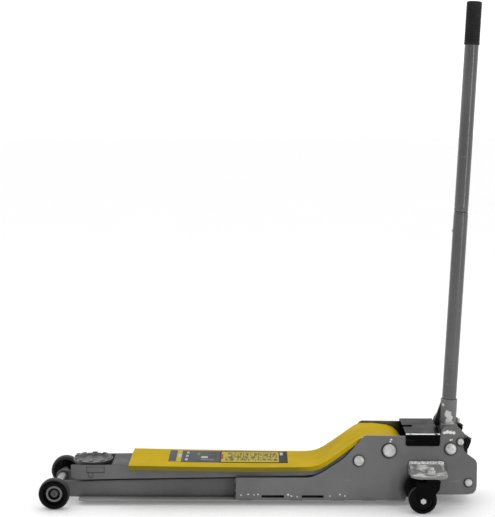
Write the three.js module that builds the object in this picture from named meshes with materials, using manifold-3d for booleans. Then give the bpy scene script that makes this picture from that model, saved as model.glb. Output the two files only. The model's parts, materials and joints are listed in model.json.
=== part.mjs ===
// Long-chassis hydraulic trolley jack, lowered, with its pump handle upright.
// Millimetres, +Z up. The origin is on the floor under the middle of the jack.
// -X is the saddle end, +X the handle end; left is -Y for a person at the handle.

import * as THREE from "three";
import { mergeVertices } from "three/addons/utils/BufferGeometryUtils.js";
import Module from "manifold-3d";

const wasm = await Module();
wasm.setup();

// ---- driving dimensions ----

const GAP = 0.3; // clearance between pieces that touch
const SIDES = 20; // facets of a large round
const SMALL_SIDES = 12; // facets of a pin or bolt
const SIDE_SIGNS = { left: -1, right: 1 };
const CENTRING_X = -2.345; // puts the middle of the overall length at x = 0

// chassis
const PLATE_OUTER_Y = 86;
const PLATE_THICKNESS = 6;
const PLATE_INNER_Y = PLATE_OUTER_Y - PLATE_THICKNESS;
const PLATE_FRONT_X = -57;
const PLATE_REAR_X = 551.5;
const PLATE_LOW_TOP_Z = 73;
const PLATE_HIGH_TOP_Z = 180;
const RAIL_WEB_OUTER_Y = 55;
const RAIL_WEB_INNER_Y = 50;
const RAIL_FRONT_X = -474;
const RAIL_REAR_X = 372;
const RAIL_TOP_Z = 80;
const FLANGE_BOTTOM_Z = 12;
const FLANGE_TOP_Z = 16;
const FLANGE_FRONT_X = -456;

// front axle and wheels
const FRONT_WHEEL_X = -512.5;
const FRONT_WHEEL_RADIUS = 39;
const FRONT_WHEEL_INNER_Y = 100;
const FRONT_WHEEL_OUTER_Y = 129;
const AXLE_RADIUS = 12;
const HUB_RECESS = 11;

// rear casters
const CASTER_SWIVEL_X = 430;
const CASTER_WHEEL_X = 408.7;
const CASTER_Y = 144;
const CASTER_RADIUS = 35;
const CASTER_HALF_WIDTH = 12;
const BRACKET_TOP_Z = 98;
const BRACKET_BOTTOM_Z = 92;
const BRACKET_OUTER_Y = 169;

// lift arm
const ARM_PIVOT = [330, 144.5];
const ARM_OUTER_Y = 77;
const ARM_WALL = 6;
const RECESS_DEPTH = 2.5; // of the pressed pocket beside the saddle
const ARM_FRONT_OUTER_Y = 61.5; // the arm narrows towards the saddle
const ARM_TAPER_REAR_X = 60;
const ARM_FRONT_X = -477;
const COVER_FRONT_X = -328;
const ROOF_FRONT_X = -374;
const ARM_FRONT_TOP_Z = 98;
const COVER_THICKNESS = 3;
const COVER_LIP = 8.5; // how far the folded edge reaches below the sheet
const COVER_LIP_THICKNESS = 2.2;
const SADDLE_X = -427;
const CARRIER_PIN_Z = 72;
const LINK_DROP = 40; // the levelling links run this far below the arm's own pivots
const LEVER_RADIUS = 85;
const LEVER_REST_ANGLE = 30; // degrees behind straight down
const RAM_STROKE = 85;

// hydraulic unit
const RAM_Z = 66;
const RAM_RADIUS = 14;
const BLOCK_FRONT_X = 470;
const BLOCK_REAR_X = 545;
const BLOCK_TOP_Z = 104;
const BLOCK_BOTTOM_Z = 37;
const BLOCK_HALF_Y = 48;
const PUMP_X = 507;
const PLUNGER_RADIUS = 8;
const TIE_ROD = [530.4, 62.1];
const SPRING_BAR = [338, 60];
const SPRING_Y = 62;

// handle
const HANDLE_PIVOT = [484.5, 149.3];
const HANDLE_LEAN = THREE.MathUtils.degToRad(2.68);
const LOWER_TUBE_RADIUS = 18.2;
const UPPER_TUBE_RADIUS = 17.7;
const TUBE_WALL = 2.4;
const SOCKET_TOP = 110; // heights along the handle, from its pivot
const SOCKET_FLOOR = 50;
const TUBE_JOINT = 591;
const SPIGOT_LENGTH = 96;
const GRIP_START = 1010;
const GRIP_END = 1117.5;
const GRIP_RADIUS = 19.6;
const BUTTON_HEIGHT = 542.7;

const PAINT = { grey: "#6a6a6a", yellow: "#c8ac2a", black: "#141414" };

// ---- materials ----

function paint(colour, roughness = 0.45, metalness = 0.1) {
  return new THREE.MeshStandardMaterial({ color: colour, roughness, metalness });
}

const greyPaint = paint(PAINT.grey);
const yellowPaint = paint(PAINT.yellow, 0.4);
const blackPaint = paint(PAINT.black, 0.4);
const rubber = paint("#101010", 0.8, 0);
const zinc = paint("#b9b9b4", 0.35, 0.9);
const steel = paint("#8c8c8c", 0.35, 0.95);
const castIron = paint("#4a4a4a", 0.6, 0.5);

// ---- solids ----

function solid(geometry) {
  const bare = geometry.clone();
  bare.deleteAttribute("normal");
  bare.deleteAttribute("uv");
  const merged = mergeVertices(bare, 1e-4);
  const index = merged.index.array;
  const triVerts = [];
  for (let i = 0; i < index.length; i += 3) {
    const [a, b, c] = index.slice(i, i + 3);
    if (a !== b && b !== c && c !== a) triVerts.push(a, b, c);
  }
  const vertProperties = merged.attributes.position.array;
  return new wasm.Manifold(
    new wasm.Mesh({ numProp: 3, vertProperties, triVerts: Uint32Array.from(triVerts) }));
}

function join(first, ...others) {
  return others.reduce((whole, piece) => whole.add(piece), first);
}

function cut(first, ...others) {
  return others.reduce((whole, piece) => whole.subtract(piece), first);
}

function box(x0, x1, y0, y1, z0, z1) {
  const geometry = new THREE.BoxGeometry(x1 - x0, y1 - y0, z1 - z0);
  geometry.translate((x0 + x1) / 2, (y0 + y1) / 2, (z0 + z1) / 2);
  return solid(geometry);
}

// A round bar along Y, from y0 to y1.
function barY([x, z], radius, y0, y1, sides = SMALL_SIDES) {
  const geometry = new THREE.CylinderGeometry(radius, radius, y1 - y0, sides);
  geometry.translate(x, (y0 + y1) / 2, z);
  return solid(geometry);
}

// Radius of a faceted hole whose flats clear a pin of the given radius.
function clearOf(pinRadius, sides = SMALL_SIDES) {
  return (pinRadius + GAP) / Math.cos(Math.PI / sides);
}

function barX([y, z], radius, x0, x1, sides = SMALL_SIDES) {
  const geometry = new THREE.CylinderGeometry(radius, radius, x1 - x0, sides);
  geometry.rotateZ(Math.PI / 2);
  geometry.translate((x0 + x1) / 2, y, z);
  return solid(geometry);
}

function barZ([x, y], radius, z0, z1, sides = SMALL_SIDES, topRadius = radius) {
  const geometry = new THREE.CylinderGeometry(topRadius, radius, z1 - z0, sides);
  geometry.rotateX(Math.PI / 2);
  geometry.translate(x, y, (z0 + z1) / 2);
  return solid(geometry);
}

// A profile of [radius, distance] pairs turned about the Y direction through (x, z).
function turnedY([x, z], profile, sides = SIDES) {
  const points = profile.map(([radius, y]) => new THREE.Vector2(radius, y));
  const geometry = new THREE.LatheGeometry(points, sides);
  geometry.translate(x, 0, z);
  return outward(solid(geometry), geometry);
}

// A profile of [radius, height] pairs turned about the vertical through (x, y).
function turnedZ([x, y], profile, sides = SIDES) {
  const points = profile.map(([radius, z]) => new THREE.Vector2(radius, z));
  const geometry = new THREE.LatheGeometry(points, sides);
  geometry.rotateX(Math.PI / 2);
  geometry.translate(x, y, 0);
  return outward(solid(geometry), geometry);
}

// Turns a solid right side out when its profile ran the other way round.
function outward(body, geometry) {
  if (body.volume() > 0) return body;
  const index = geometry.index.array;
  for (let i = 0; i < index.length; i += 3) {
    [index[i], index[i + 1]] = [index[i + 1], index[i]];
  }
  return solid(geometry);
}

// An outline in the XZ plane, given thickness from y0 to y1.
function plateY(shape, y0, y1, curveSegments = 3) {
  const geometry = new THREE.ExtrudeGeometry(
    shape, { depth: y1 - y0, bevelEnabled: false, curveSegments });
  geometry.rotateX(Math.PI / 2);
  geometry.translate(0, y1, 0);
  return solid(geometry);
}

// An outline in the XY plane, given thickness from z0 to z1.
function plateZ(shape, z0, z1, curveSegments = 4) {
  const geometry = new THREE.ExtrudeGeometry(
    shape, { depth: z1 - z0, bevelEnabled: false, curveSegments });
  geometry.translate(0, 0, z0);
  return solid(geometry);
}

// An outline in the YZ plane, given length from x0 to x1.
function alongX(outline, x0, x1) {
  const geometry = new THREE.ExtrudeGeometry(outline, { depth: x1 - x0, bevelEnabled: false });
  geometry.applyMatrix4(new THREE.Matrix4().makeBasis(
    new THREE.Vector3(0, 1, 0), new THREE.Vector3(0, 0, 1), new THREE.Vector3(1, 0, 0)));
  geometry.translate(x0, 0, 0);
  return solid(geometry);
}

function polygon(points) {
  return new THREE.Shape(points.map(([x, z]) => new THREE.Vector2(x, z)));
}

// A closed outline whose corners [x, z, radius] are rounded.
function roundedPolygon(corners) {
  const shape = new THREE.Shape();
  corners.forEach(([x, z, radius = 0], i) => {
    const before = corners[(i + corners.length - 1) % corners.length];
    const after = corners[(i + 1) % corners.length];
    const corner = new THREE.Vector2(x, z);
    const entry = towards(corner, before, radius);
    const exit = towards(corner, after, radius);
    if (i === 0) shape.moveTo(entry.x, entry.y);
    else shape.lineTo(entry.x, entry.y);
    if (radius > 0) shape.quadraticCurveTo(x, z, exit.x, exit.y);
  });
  shape.closePath();
  return shape;
}

// A rounding starts at most half way along its edge, so that two never cross.
function towards(corner, [x, z], distance) {
  const edge = new THREE.Vector2(x, z).sub(corner);
  return corner.clone().add(edge.clone().setLength(Math.min(distance, edge.length() * 0.48)));
}

// The band of given thickness under a line of [x, z] points.
function band(line, thickness) {
  const under = line.map(([x, z]) => [x, z - thickness]).reverse();
  return polygon([...line, ...under]);
}

function mirrored(body, sign) {
  return sign < 0 ? body : body.mirror([0, 1, 0]);
}

const jack = new THREE.Group();
jack.position.x = CENTRING_X;

function addMesh(name, body, material, parent = jack) {
  const { vertProperties, triVerts } = body.getMesh();
  const geometry = new THREE.BufferGeometry();
  geometry.setAttribute("position", new THREE.BufferAttribute(vertProperties, 3));
  geometry.setIndex(new THREE.BufferAttribute(triVerts, 1));
  const mesh = new THREE.Mesh(geometry, material);
  mesh.name = name;
  parent.add(mesh);
}

// Builds a piece on the left (-Y) and its mirror image on the right.
function addPair(name, leftBody, material) {
  for (const [side, sign] of Object.entries(SIDE_SIGNS)) {
    addMesh(`${side}_${name}`, mirrored(leftBody, sign), material);
  }
}

// ---- chassis ----

const FRAME_BOLT = [254, 118];
const BUMPER_BOLT = [508.7, 167.4];
const ARM_SHAFT_RADIUS = 13;
const HANDLE_BOLT_RADIUS = 9;
const BOLT_RADIUS = 5;

function plateOutline() {
  return roundedPolygon([
    [PLATE_FRONT_X, FLANGE_TOP_Z + GAP, 0], [RAIL_REAR_X, FLANGE_TOP_Z + GAP, 0],
    [RAIL_REAR_X + 1, 24, 0], [449, 30, 8], [PLATE_REAR_X, 31, 22], [PLATE_REAR_X, 117, 9],
    [517.5, 142, 8], [518, 160, 5], [527, 178, 5], [502, 206, 8], [469, 205, 5],
    [460.5, 191, 3], [458.5, PLATE_HIGH_TOP_Z, 2.5], [268, PLATE_HIGH_TOP_Z + 2, 6],
    [217, 123, 14], [160, 85, 20], [132, PLATE_LOW_TOP_Z, 12], [PLATE_FRONT_X, PLATE_LOW_TOP_Z, 0]]);
}

function sidePlate() {
  const outer = -PLATE_OUTER_Y;
  const inner = -PLATE_INNER_Y;
  const slots = [[8, 65], [110, 165]].map(([x0, x1]) => box(x0, x1, outer - 1, inner + 1, 21, 27.5));
  const holes = [
    [ARM_PIVOT, ARM_SHAFT_RADIUS], [HANDLE_PIVOT, HANDLE_BOLT_RADIUS], [FRAME_BOLT, BOLT_RADIUS],
    [BUMPER_BOLT, BOLT_RADIUS], [TIE_ROD, BOLT_RADIUS],
  ].map(([centre, radius]) => barY(centre, clearOf(radius), outer - 1, inner + 1));
  return cut(plateY(plateOutline(), outer, inner), ...slots, ...holes);
}

// Web with a bottom flange, a nose lug for the axle and a tab with the link's stud.
const LINK_ANCHOR = [ARM_PIVOT[0], ARM_PIVOT[1] - LINK_DROP];
const LINK_PIN_RADIUS = 5;
const LINK_INNER_Y = 42;
const LINK_OUTER_Y = 46.5;
const NOSE_LUG_RADIUS = 18;

function frontRail() {
  const webOutline = roundedPolygon([
    [RAIL_FRONT_X, FLANGE_TOP_Z - 2, 0], [RAIL_REAR_X, FLANGE_TOP_Z - 2, 0],
    [RAIL_REAR_X, RAIL_TOP_Z, 8],
    [LINK_ANCHOR[0] + 18, RAIL_TOP_Z, 4], [LINK_ANCHOR[0] + 11, LINK_ANCHOR[1] + 9, 6],
    [LINK_ANCHOR[0] - 11, LINK_ANCHOR[1] + 9, 6], [LINK_ANCHOR[0] - 18, RAIL_TOP_Z, 4],
    [RAIL_FRONT_X + 12, RAIL_TOP_Z - 26, 12], [RAIL_FRONT_X, 56, 4]]);
  const web = plateY(webOutline, -RAIL_WEB_OUTER_Y, -RAIL_WEB_INNER_Y);
  const lug = barY([FRONT_WHEEL_X, FRONT_WHEEL_RADIUS], NOSE_LUG_RADIUS,
    -RAIL_WEB_OUTER_Y, -RAIL_WEB_INNER_Y, SIDES);
  const neck = box(FRONT_WHEEL_X + 20, RAIL_FRONT_X + 2,
    -RAIL_WEB_OUTER_Y, -RAIL_WEB_INNER_Y, FLANGE_TOP_Z - 2, 55);
  const throat = box(FRONT_WHEEL_X, FRONT_WHEEL_X + 22, -RAIL_WEB_OUTER_Y, -RAIL_WEB_INNER_Y, 22, 55);
  const flangeOutline = polygon([
    [FLANGE_FRONT_X, -PLATE_OUTER_Y + 4], [FLANGE_FRONT_X + 4, -PLATE_OUTER_Y],
    [RAIL_REAR_X, -PLATE_OUTER_Y], [RAIL_REAR_X, -RAIL_WEB_INNER_Y],
    [FLANGE_FRONT_X, -RAIL_WEB_INNER_Y]]);
  const flange = plateZ(flangeOutline, FLANGE_BOTTOM_Z, FLANGE_TOP_Z);
  const axleHole = barY([FRONT_WHEEL_X, FRONT_WHEEL_RADIUS], clearOf(AXLE_RADIUS),
    -RAIL_WEB_OUTER_Y - 1, -RAIL_WEB_INNER_Y + 1);
  const stud = barY(LINK_ANCHOR, LINK_PIN_RADIUS, -RAIL_WEB_INNER_Y - 1, -LINK_INNER_Y + 1);
  const studHead = barY(LINK_ANCHOR, LINK_PIN_RADIUS + 3, -LINK_INNER_Y + GAP, -LINK_INNER_Y + 3);
  const springSlot = box(SPRING_BAR[0] - RAM_STROKE - 7, SPRING_BAR[0] + 7,
    -RAIL_WEB_OUTER_Y - 1, -RAIL_WEB_INNER_Y + 1, SPRING_BAR[1] - 6.5, SPRING_BAR[1] + 6.5);
  return cut(join(web, lug, neck, throat, flange, stud, studHead), axleHole, springSlot);
}

function frontCrossMember() {
  const halfWidth = RAIL_WEB_INNER_Y - GAP;
  const pan = box(-462, -300, -halfWidth, halfWidth, FLANGE_BOTTOM_Z, FLANGE_TOP_Z);
  const upright = box(-462, -457, -halfWidth, halfWidth, FLANGE_BOTTOM_Z, 44);
  return join(pan, upright);
}

function rearCrossPan() {
  const halfWidth = RAIL_WEB_INNER_Y - GAP;
  return box(-80, 360, -halfWidth, halfWidth, FLANGE_BOTTOM_Z, FLANGE_TOP_Z);
}

// Folded lid over the gap between the side plates, with a notch in its front edge.
function topCover() {
  const halfWidth = PLATE_OUTER_Y + GAP + 2;
  const [x0, x1, top, bottom] = [371, 457, 187.5, 156];
  const sheet = box(x0, x1, -halfWidth, halfWidth, top - 2, top);
  const lips = [-1, 1].map((side) => {
    const lip = roundedPolygon([[x0, top, 0], [x0, bottom, 6], [x1, bottom, 6], [x1, top, 0]]);
    const inner = halfWidth - 2;
    return side < 0 ? plateY(lip, -halfWidth, -inner) : plateY(lip, inner, halfWidth);
  });
  const notch = box(x0 - 1, x0 + 24, -9, 9, top - 4, top + 1);
  return cut(join(sheet, ...lips), notch);
}

function frontAxle() {
  const reach = FRONT_WHEEL_OUTER_Y - HUB_RECESS - 1;
  const profile = [
    [0, -reach], [AXLE_RADIUS - 2.5, -reach], [AXLE_RADIUS - 1, -reach + 2], [AXLE_RADIUS, -reach + 4],
    [AXLE_RADIUS, reach - 4], [AXLE_RADIUS - 1, reach - 2], [AXLE_RADIUS - 2.5, reach], [0, reach]];
  return turnedY([FRONT_WHEEL_X, FRONT_WHEEL_RADIUS], profile, SMALL_SIDES);
}

function frontWheel() {
  const r = FRONT_WHEEL_RADIUS;
  const bore = AXLE_RADIUS + GAP;
  const [inner, outer] = [-FRONT_WHEEL_INNER_Y, -FRONT_WHEEL_OUTER_Y];
  const hub = outer + HUB_RECESS;
  const profile = [
    [bore, inner], [r - 7, inner], [r - 2, inner - 2], [r, inner - 7], [r, outer + 8],
    [r - 2, outer + 3], [r - 7, outer], [28, outer], [24.5, hub], [21.4, hub],
    [20.6, hub - 1.5], [14.8, hub - 1.5], [14, hub + 3], [bore, hub + 3], [bore, inner]];
  return turnedY([FRONT_WHEEL_X, r], profile);
}

function casterBracket() {
  const [x0, x1] = [378, 471];
  const shelfOutline = roundedPolygon([
    [x0, -PLATE_OUTER_Y - GAP, 0], [x0, -150, 6], [x0 + 14, -BRACKET_OUTER_Y, 14],
    [x1 - 10, -BRACKET_OUTER_Y, 14], [x1, -150, 6], [x1, -PLATE_OUTER_Y - GAP, 0]]);
  const shelf = plateZ(shelfOutline, BRACKET_BOTTOM_Z, BRACKET_TOP_Z);
  const upright = box(x0, x1, -PLATE_OUTER_Y - 6, -PLATE_OUTER_Y - GAP, BRACKET_BOTTOM_Z, 110);
  const gussets = [[x0, x0 + 6], [x1 - 6, x1]].map(([g0, g1]) => gusset(g0, g1));
  const ramp = alongX(polygon([
    [-PLATE_OUTER_Y - GAP, BRACKET_TOP_Z - 1], [-PLATE_OUTER_Y - GAP, 113.5],
    [-PLATE_OUTER_Y - 4, 113.5], [-128, BRACKET_TOP_Z], [-128, BRACKET_TOP_Z - 1]]), x0 + 3, x1 - 5);
  const kingHole = barZ([CASTER_SWIVEL_X, -CASTER_Y], clearOf(KING_RADIUS), 80, 120);
  return cut(join(shelf, upright, ramp, ...gussets), kingHole);
}

function gusset(x0, x1) {
  return alongX(polygon([
    [-PLATE_OUTER_Y - GAP, BRACKET_BOTTOM_Z + 1], [-PLATE_OUTER_Y - GAP, CROWN_TOP_Z + 1],
    [-PLATE_OUTER_Y - 6, CROWN_TOP_Z + 1], [-PLATE_OUTER_Y - 34, BRACKET_BOTTOM_Z + 1]]), x0, x1);
}

// ---- casters ----

const KING_RADIUS = 6;
const CASTER_AXLE_RADIUS = 5;
const CROWN_FRONT_X = 387;
const CROWN_TOP_Z = 82;

function casterFork() {
  const swivel = [CASTER_SWIVEL_X, -CASTER_Y];
  const race = barZ(swivel, 20, CROWN_TOP_Z - 1, BRACKET_BOTTOM_Z - GAP, SIDES);
  const crownOutline = roundedPolygon([
    [CROWN_FRONT_X, -CASTER_Y - 17.5, 6], [CASTER_SWIVEL_X + 20, -CASTER_Y - 17.5, 10],
    [CASTER_SWIVEL_X + 24, -CASTER_Y, 6], [CASTER_SWIVEL_X + 20, -CASTER_Y + 17.5, 10],
    [CROWN_FRONT_X, -CASTER_Y + 17.5, 6]]);
  const crown = plateZ(crownOutline, 76, CROWN_TOP_Z);
  const king = barZ(swivel, KING_RADIUS, 85, 116);
  const axle = [CASTER_WHEEL_X, CASTER_RADIUS];
  const legOutline = roundedPolygon([
    [CASTER_SWIVEL_X + 20, 80, 0], [CASTER_SWIVEL_X + 20, 64, 10], [CASTER_WHEEL_X + 11, 27, 8],
    [CASTER_WHEEL_X - 11, 25, 8], [CROWN_FRONT_X + 4, 60, 8], [CROWN_FRONT_X + 4, 80, 0]]);
  const reach = CASTER_HALF_WIDTH + 2;
  const legs = [-1, 1].map((side) => {
    const y = -CASTER_Y + side * reach;
    return plateY(legOutline, Math.min(y, y + side * 3.5), Math.max(y, y + side * 3.5));
  });
  const hole = barY(axle, clearOf(CASTER_AXLE_RADIUS), -CASTER_Y - 30, -CASTER_Y + 30);
  return cut(join(race, crown, king, ...legs), hole);
}

function casterWheel() {
  const r = CASTER_RADIUS;
  const profile = [
    [CASTER_AXLE_RADIUS + GAP, -11], [14, -11], [15, -8], [25, -8], [27, -12], [r - 3, -12],
    [r, -8], [r, 8], [r - 3, 12], [27, 12], [25, 8], [15, 8], [14, 11],
    [CASTER_AXLE_RADIUS + GAP, 11], [CASTER_AXLE_RADIUS + GAP, -11]]
    .map(([radius, y]) => [radius, y - CASTER_Y]);
  return turnedY([CASTER_WHEEL_X, r], profile);
}

function casterAxle() {
  const axle = [CASTER_WHEEL_X, CASTER_RADIUS];
  const reach = CASTER_HALF_WIDTH + 5.5 + GAP;
  const shank = barY(axle, CASTER_AXLE_RADIUS, -CASTER_Y - reach - 1, -CASTER_Y + reach + 1);
  const heads = [
    barY(axle, 7.5, -CASTER_Y - reach - 4, -CASTER_Y - reach, 6),
    barY(axle, 7.5, -CASTER_Y + reach, -CASTER_Y + reach + 4, 6)];
  return join(shank, ...heads);
}

function kingNut() {
  const centre = [CASTER_SWIVEL_X, -CASTER_Y];
  const washer = barZ(centre, 13, BRACKET_TOP_Z + GAP, BRACKET_TOP_Z + 2.5, SMALL_SIDES);
  const nut = barZ(centre, 10.5, BRACKET_TOP_Z + 2, BRACKET_TOP_Z + 11, 6);
  return cut(join(washer, nut), barZ(centre, clearOf(KING_RADIUS), 90, 130));
}

// ---- fasteners of the chassis ----

function shoulderBolt(centre, headRadius, headDepth, shankRadius, innerY) {
  const face = -PLATE_OUTER_Y - GAP;
  const profile = [
    [0, face - headDepth], [headRadius * 0.7, face - headDepth],
    [headRadius * 0.93, face - headDepth * 0.7], [headRadius, face - headDepth * 0.35],
    [headRadius, face], [shankRadius, face], [shankRadius, innerY], [0, innerY]];
  return turnedY(centre, profile, 16);
}

function armPivotShaft() {
  const face = PLATE_OUTER_Y + GAP;
  const half = [
    [ARM_SHAFT_RADIUS, face], [16.5, face], [16.5, face + 4], [14, face + 7], [0, face + 7]];
  const other = half.map(([radius, y]) => [radius, -y]).reverse();
  return turnedY(ARM_PIVOT, [...other, ...half], SIDES);
}

function tieRod() {
  const face = PLATE_OUTER_Y + GAP;
  const half = [[BOLT_RADIUS, face], [9.6, face], [9.6, face + 3], [6.5, face + 6], [0, face + 6]];
  const other = half.map(([radius, y]) => [radius, -y]).reverse();
  return turnedY(TIE_ROD, [...other, ...half], 16);
}

// Rubber stop behind the plate, wrapped round the notch in its rear edge.
function rubberBumper() {
  const rear = [[527, 148, 5], [531, 158, 4], [536, 171, 4]];
  const outline = roundedPolygon([
    [500, 158, 4], [507, 154, 4], [518, 147, 5], ...rear, [526, 180, 5], [512, 181, 5], [500, 174, 5]]);
  const block = plateY(outline, -PLATE_INNER_Y + GAP, -58);
  const lapOutline = roundedPolygon([[518.2, 149, 3], ...rear, [529, 178, 4], [518.2, 177, 4]]);
  const lap = plateY(lapOutline, -PLATE_OUTER_Y - 5, -PLATE_INNER_Y + 5);
  const plateRoom = plateY(plateOutline(), -PLATE_OUTER_Y - GAP, -PLATE_INNER_Y + GAP);
  const shifts = [[GAP, 0], [0, GAP], [GAP, -GAP], [0, -GAP]];
  const room = shifts.map(([dx, dz]) => plateRoom.translate([dx, 0, dz]));
  const hole = barY(BUMPER_BOLT, clearOf(BOLT_RADIUS), -PLATE_INNER_Y - 1, -57);
  return cut(join(block, lap), ...room, hole);
}

// ---- lift arm ----

// Top line of the yellow cover, from its front edge over the knee to the rear roll.
const COVER_LINE = [
  [COVER_FRONT_X, 104.5], [-150, 101.5], [0, 100], [104, 100], [124, 100.4], [140, 101.8],
  [156, 106], [172, 114.5], [190, 126.8], [240, 163], [252, 171], [266, 177], [300, 177.3],
  [335, 173], [352, 167], [364, 157], [372, 144]];
const COVER_HALF_WIDTHS = [[COVER_FRONT_X, 90], [-60, 88.5], [60, 85], [140, 82], [215, 79.5]];
const LIP_REAR_X = 300;

const ROOF_REAR_X = 352; // the roof stops here, so that it clears the frame when the arm is up

function armTopLine() {
  const drop = COVER_THICKNESS + GAP;
  const over = COVER_LINE.slice(1).map(([x, z]) => [x, z - drop]);
  const front = [[ARM_FRONT_X, ARM_FRONT_TOP_Z], [ROOF_FRONT_X, ARM_FRONT_TOP_Z],
    [COVER_FRONT_X - 4, ARM_FRONT_TOP_Z]];
  return [...front, [COVER_FRONT_X, COVER_LINE[0][1] - drop], ...over];
}

function armWallOutline() {
  const [px, pz] = ARM_PIVOT;
  const top = armTopLine().map(([x, z]) => new THREE.Vector2(x, z));
  const shape = new THREE.Shape(top);
  shape.lineTo(px + 30, pz - 12);
  shape.lineTo(px + 12, pz - 24);
  shape.lineTo(px - 20, pz - 20);
  shape.lineTo(258, 133);
  shape.lineTo(222, 112);
  shape.quadraticCurveTo(190, 84, 150, 79);
  shape.lineTo(60, 71);
  shape.lineTo(-273, 61.5);
  shape.lineTo(-448, 57.5);
  shape.quadraticCurveTo(-464, 57.5, -467, 63);
  shape.lineTo(ARM_FRONT_X, 67);
  return shape;
}

// Plan of the arm, narrow beside the saddle and wide at the knee.
function armPlan(inset) {
  const half = [[ARM_FRONT_X - 1, ARM_FRONT_OUTER_Y], [ROOF_FRONT_X, ARM_FRONT_OUTER_Y],
    [ARM_TAPER_REAR_X, ARM_OUTER_Y], [ARM_PIVOT[0] + 50, ARM_OUTER_Y]];
  const near = half.map(([x, y]) => [x, inset - y]);
  const far = half.map(([x, y]) => [x, y - inset]).reverse();
  return plateZ(polygon([...near, ...far]), 0, 250);
}

function liftArm() {
  const sides = plateY(armWallOutline(), -ARM_OUTER_Y, ARM_OUTER_Y);
  const outside = ARM_FRONT_OUTER_Y - RECESS_DEPTH;
  const recesses = [-1, 1].map((sign) => mirrored(box(-438, -391, -ARM_OUTER_Y, -outside, 78, 94), sign));
  const walls = cut(sides.intersect(armPlan(0)), armPlan(ARM_WALL), ...recesses);
  const topLine = armTopLine().filter(([x]) => x >= ROOF_FRONT_X && x <= ROOF_REAR_X);
  const roof = plateY(band(topLine, 5), -ARM_OUTER_Y, ARM_OUTER_Y).intersect(armPlan(1));
  const bar = barY(ARM_PIVOT, 20, -ARM_OUTER_Y, ARM_OUTER_Y, SIDES);
  const tube = cut(bar, linkGroove(-1), linkGroove(1));
  const levers = [-1, 1].map((sign) => mirrored(lever(), sign));
  const shaftHole = barY(ARM_PIVOT, clearOf(ARM_SHAFT_RADIUS), -90, 90);
  const saddlePinHole = barY([SADDLE_X, CARRIER_PIN_Z], clearOf(SADDLE_PIN_RADIUS), -90, 90);
  const leverPinHole = barY(LEVER_PIN, clearOf(LEVER_PIN_RADIUS), -40, 40);
  return cut(join(walls, roof, tube, ...levers), shaftHole, saddlePinHole, leverPinHole);
}

// A neck in the pivot tube that a levelling link swings past when the arm is up.
const TUBE_NECK_RADIUS = 15.6;

function linkGroove(side) {
  const [y0, y1] = [LINK_INNER_Y - 2, LINK_OUTER_Y + 2].map((y) => side * y).sort((a, b) => a - b);
  const ring = barY(ARM_PIVOT, 24, y0, y1, SIDES);
  return cut(ring, barY(ARM_PIVOT, TUBE_NECK_RADIUS, y0 - 1, y1 + 1, SIDES));
}

const SADDLE_PIN_RADIUS = 7;
const LEVER_PIN_RADIUS = 8;
const LEVER_ANGLE = THREE.MathUtils.degToRad(LEVER_REST_ANGLE);
const LEVER_PIN = [
  ARM_PIVOT[0] + LEVER_RADIUS * Math.sin(LEVER_ANGLE),
  ARM_PIVOT[1] - LEVER_RADIUS * Math.cos(LEVER_ANGLE)];

function lever() {
  const [y0, y1] = [-34, -26];
  const across = [Math.cos(LEVER_ANGLE), Math.sin(LEVER_ANGLE)];
  const offset = ([x, z], distance) => [x + across[0] * distance, z + across[1] * distance];
  const web = polygon([
    offset(ARM_PIVOT, -19), offset(LEVER_PIN, -14), offset(LEVER_PIN, 14), offset(ARM_PIVOT, 19)]);
  return join(plateY(web, y0, y1), barY(LEVER_PIN, 14, y0, y1, 16));
}

function leverPin() {
  return barY(LEVER_PIN, LEVER_PIN_RADIUS, -36, 36);
}

// Half widths of the cover at each point of its line, read between the given stations.
function coverHalfWidth(x) {
  const last = COVER_HALF_WIDTHS.length - 1;
  for (let i = 0; i < last; i += 1) {
    const [x0, w0] = COVER_HALF_WIDTHS[i];
    const [x1, w1] = COVER_HALF_WIDTHS[i + 1];
    if (x <= x1) return w0 + ((w1 - w0) * (x - x0)) / (x1 - x0);
  }
  return COVER_HALF_WIDTHS[last][1];
}

function coverOutline(inset) {
  const stations = [COVER_FRONT_X, -60, 60, 140, 215, 372];
  const near = stations.map((x) => [x, -coverHalfWidth(x) + inset]);
  const far = stations.map((x) => [x, coverHalfWidth(x) - inset]).reverse();
  return polygon([...near, ...far]);
}

function armCover() {
  const sheet = plateY(band(COVER_LINE, COVER_THICKNESS), -95, 95);
  const lipLine = COVER_LINE.filter(([x]) => x <= LIP_REAR_X);
  const lips = plateY(band(lipLine, COVER_THICKNESS + COVER_LIP), -95, 95);
  const hollow = plateZ(coverOutline(COVER_LIP_THICKNESS), 40, 200);
  const plan = plateZ(coverOutline(0), 40, 200);
  return join(sheet, lips.subtract(hollow)).intersect(plan);
}

// ---- saddle and its levelling links ----

const CARRIER_LINK_PIN = [SADDLE_X, CARRIER_PIN_Z - LINK_DROP];
const SADDLE_STUD_RADIUS = 10;
const SADDLE_RADIUS = 50.5;
const SADDLE_FLOOR_Z = 98;
const SADDLE_TEETH = 10;
const CARRIER_TOP_Z = 91.5;
const CARRIER_REAR_X = -386;

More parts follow.
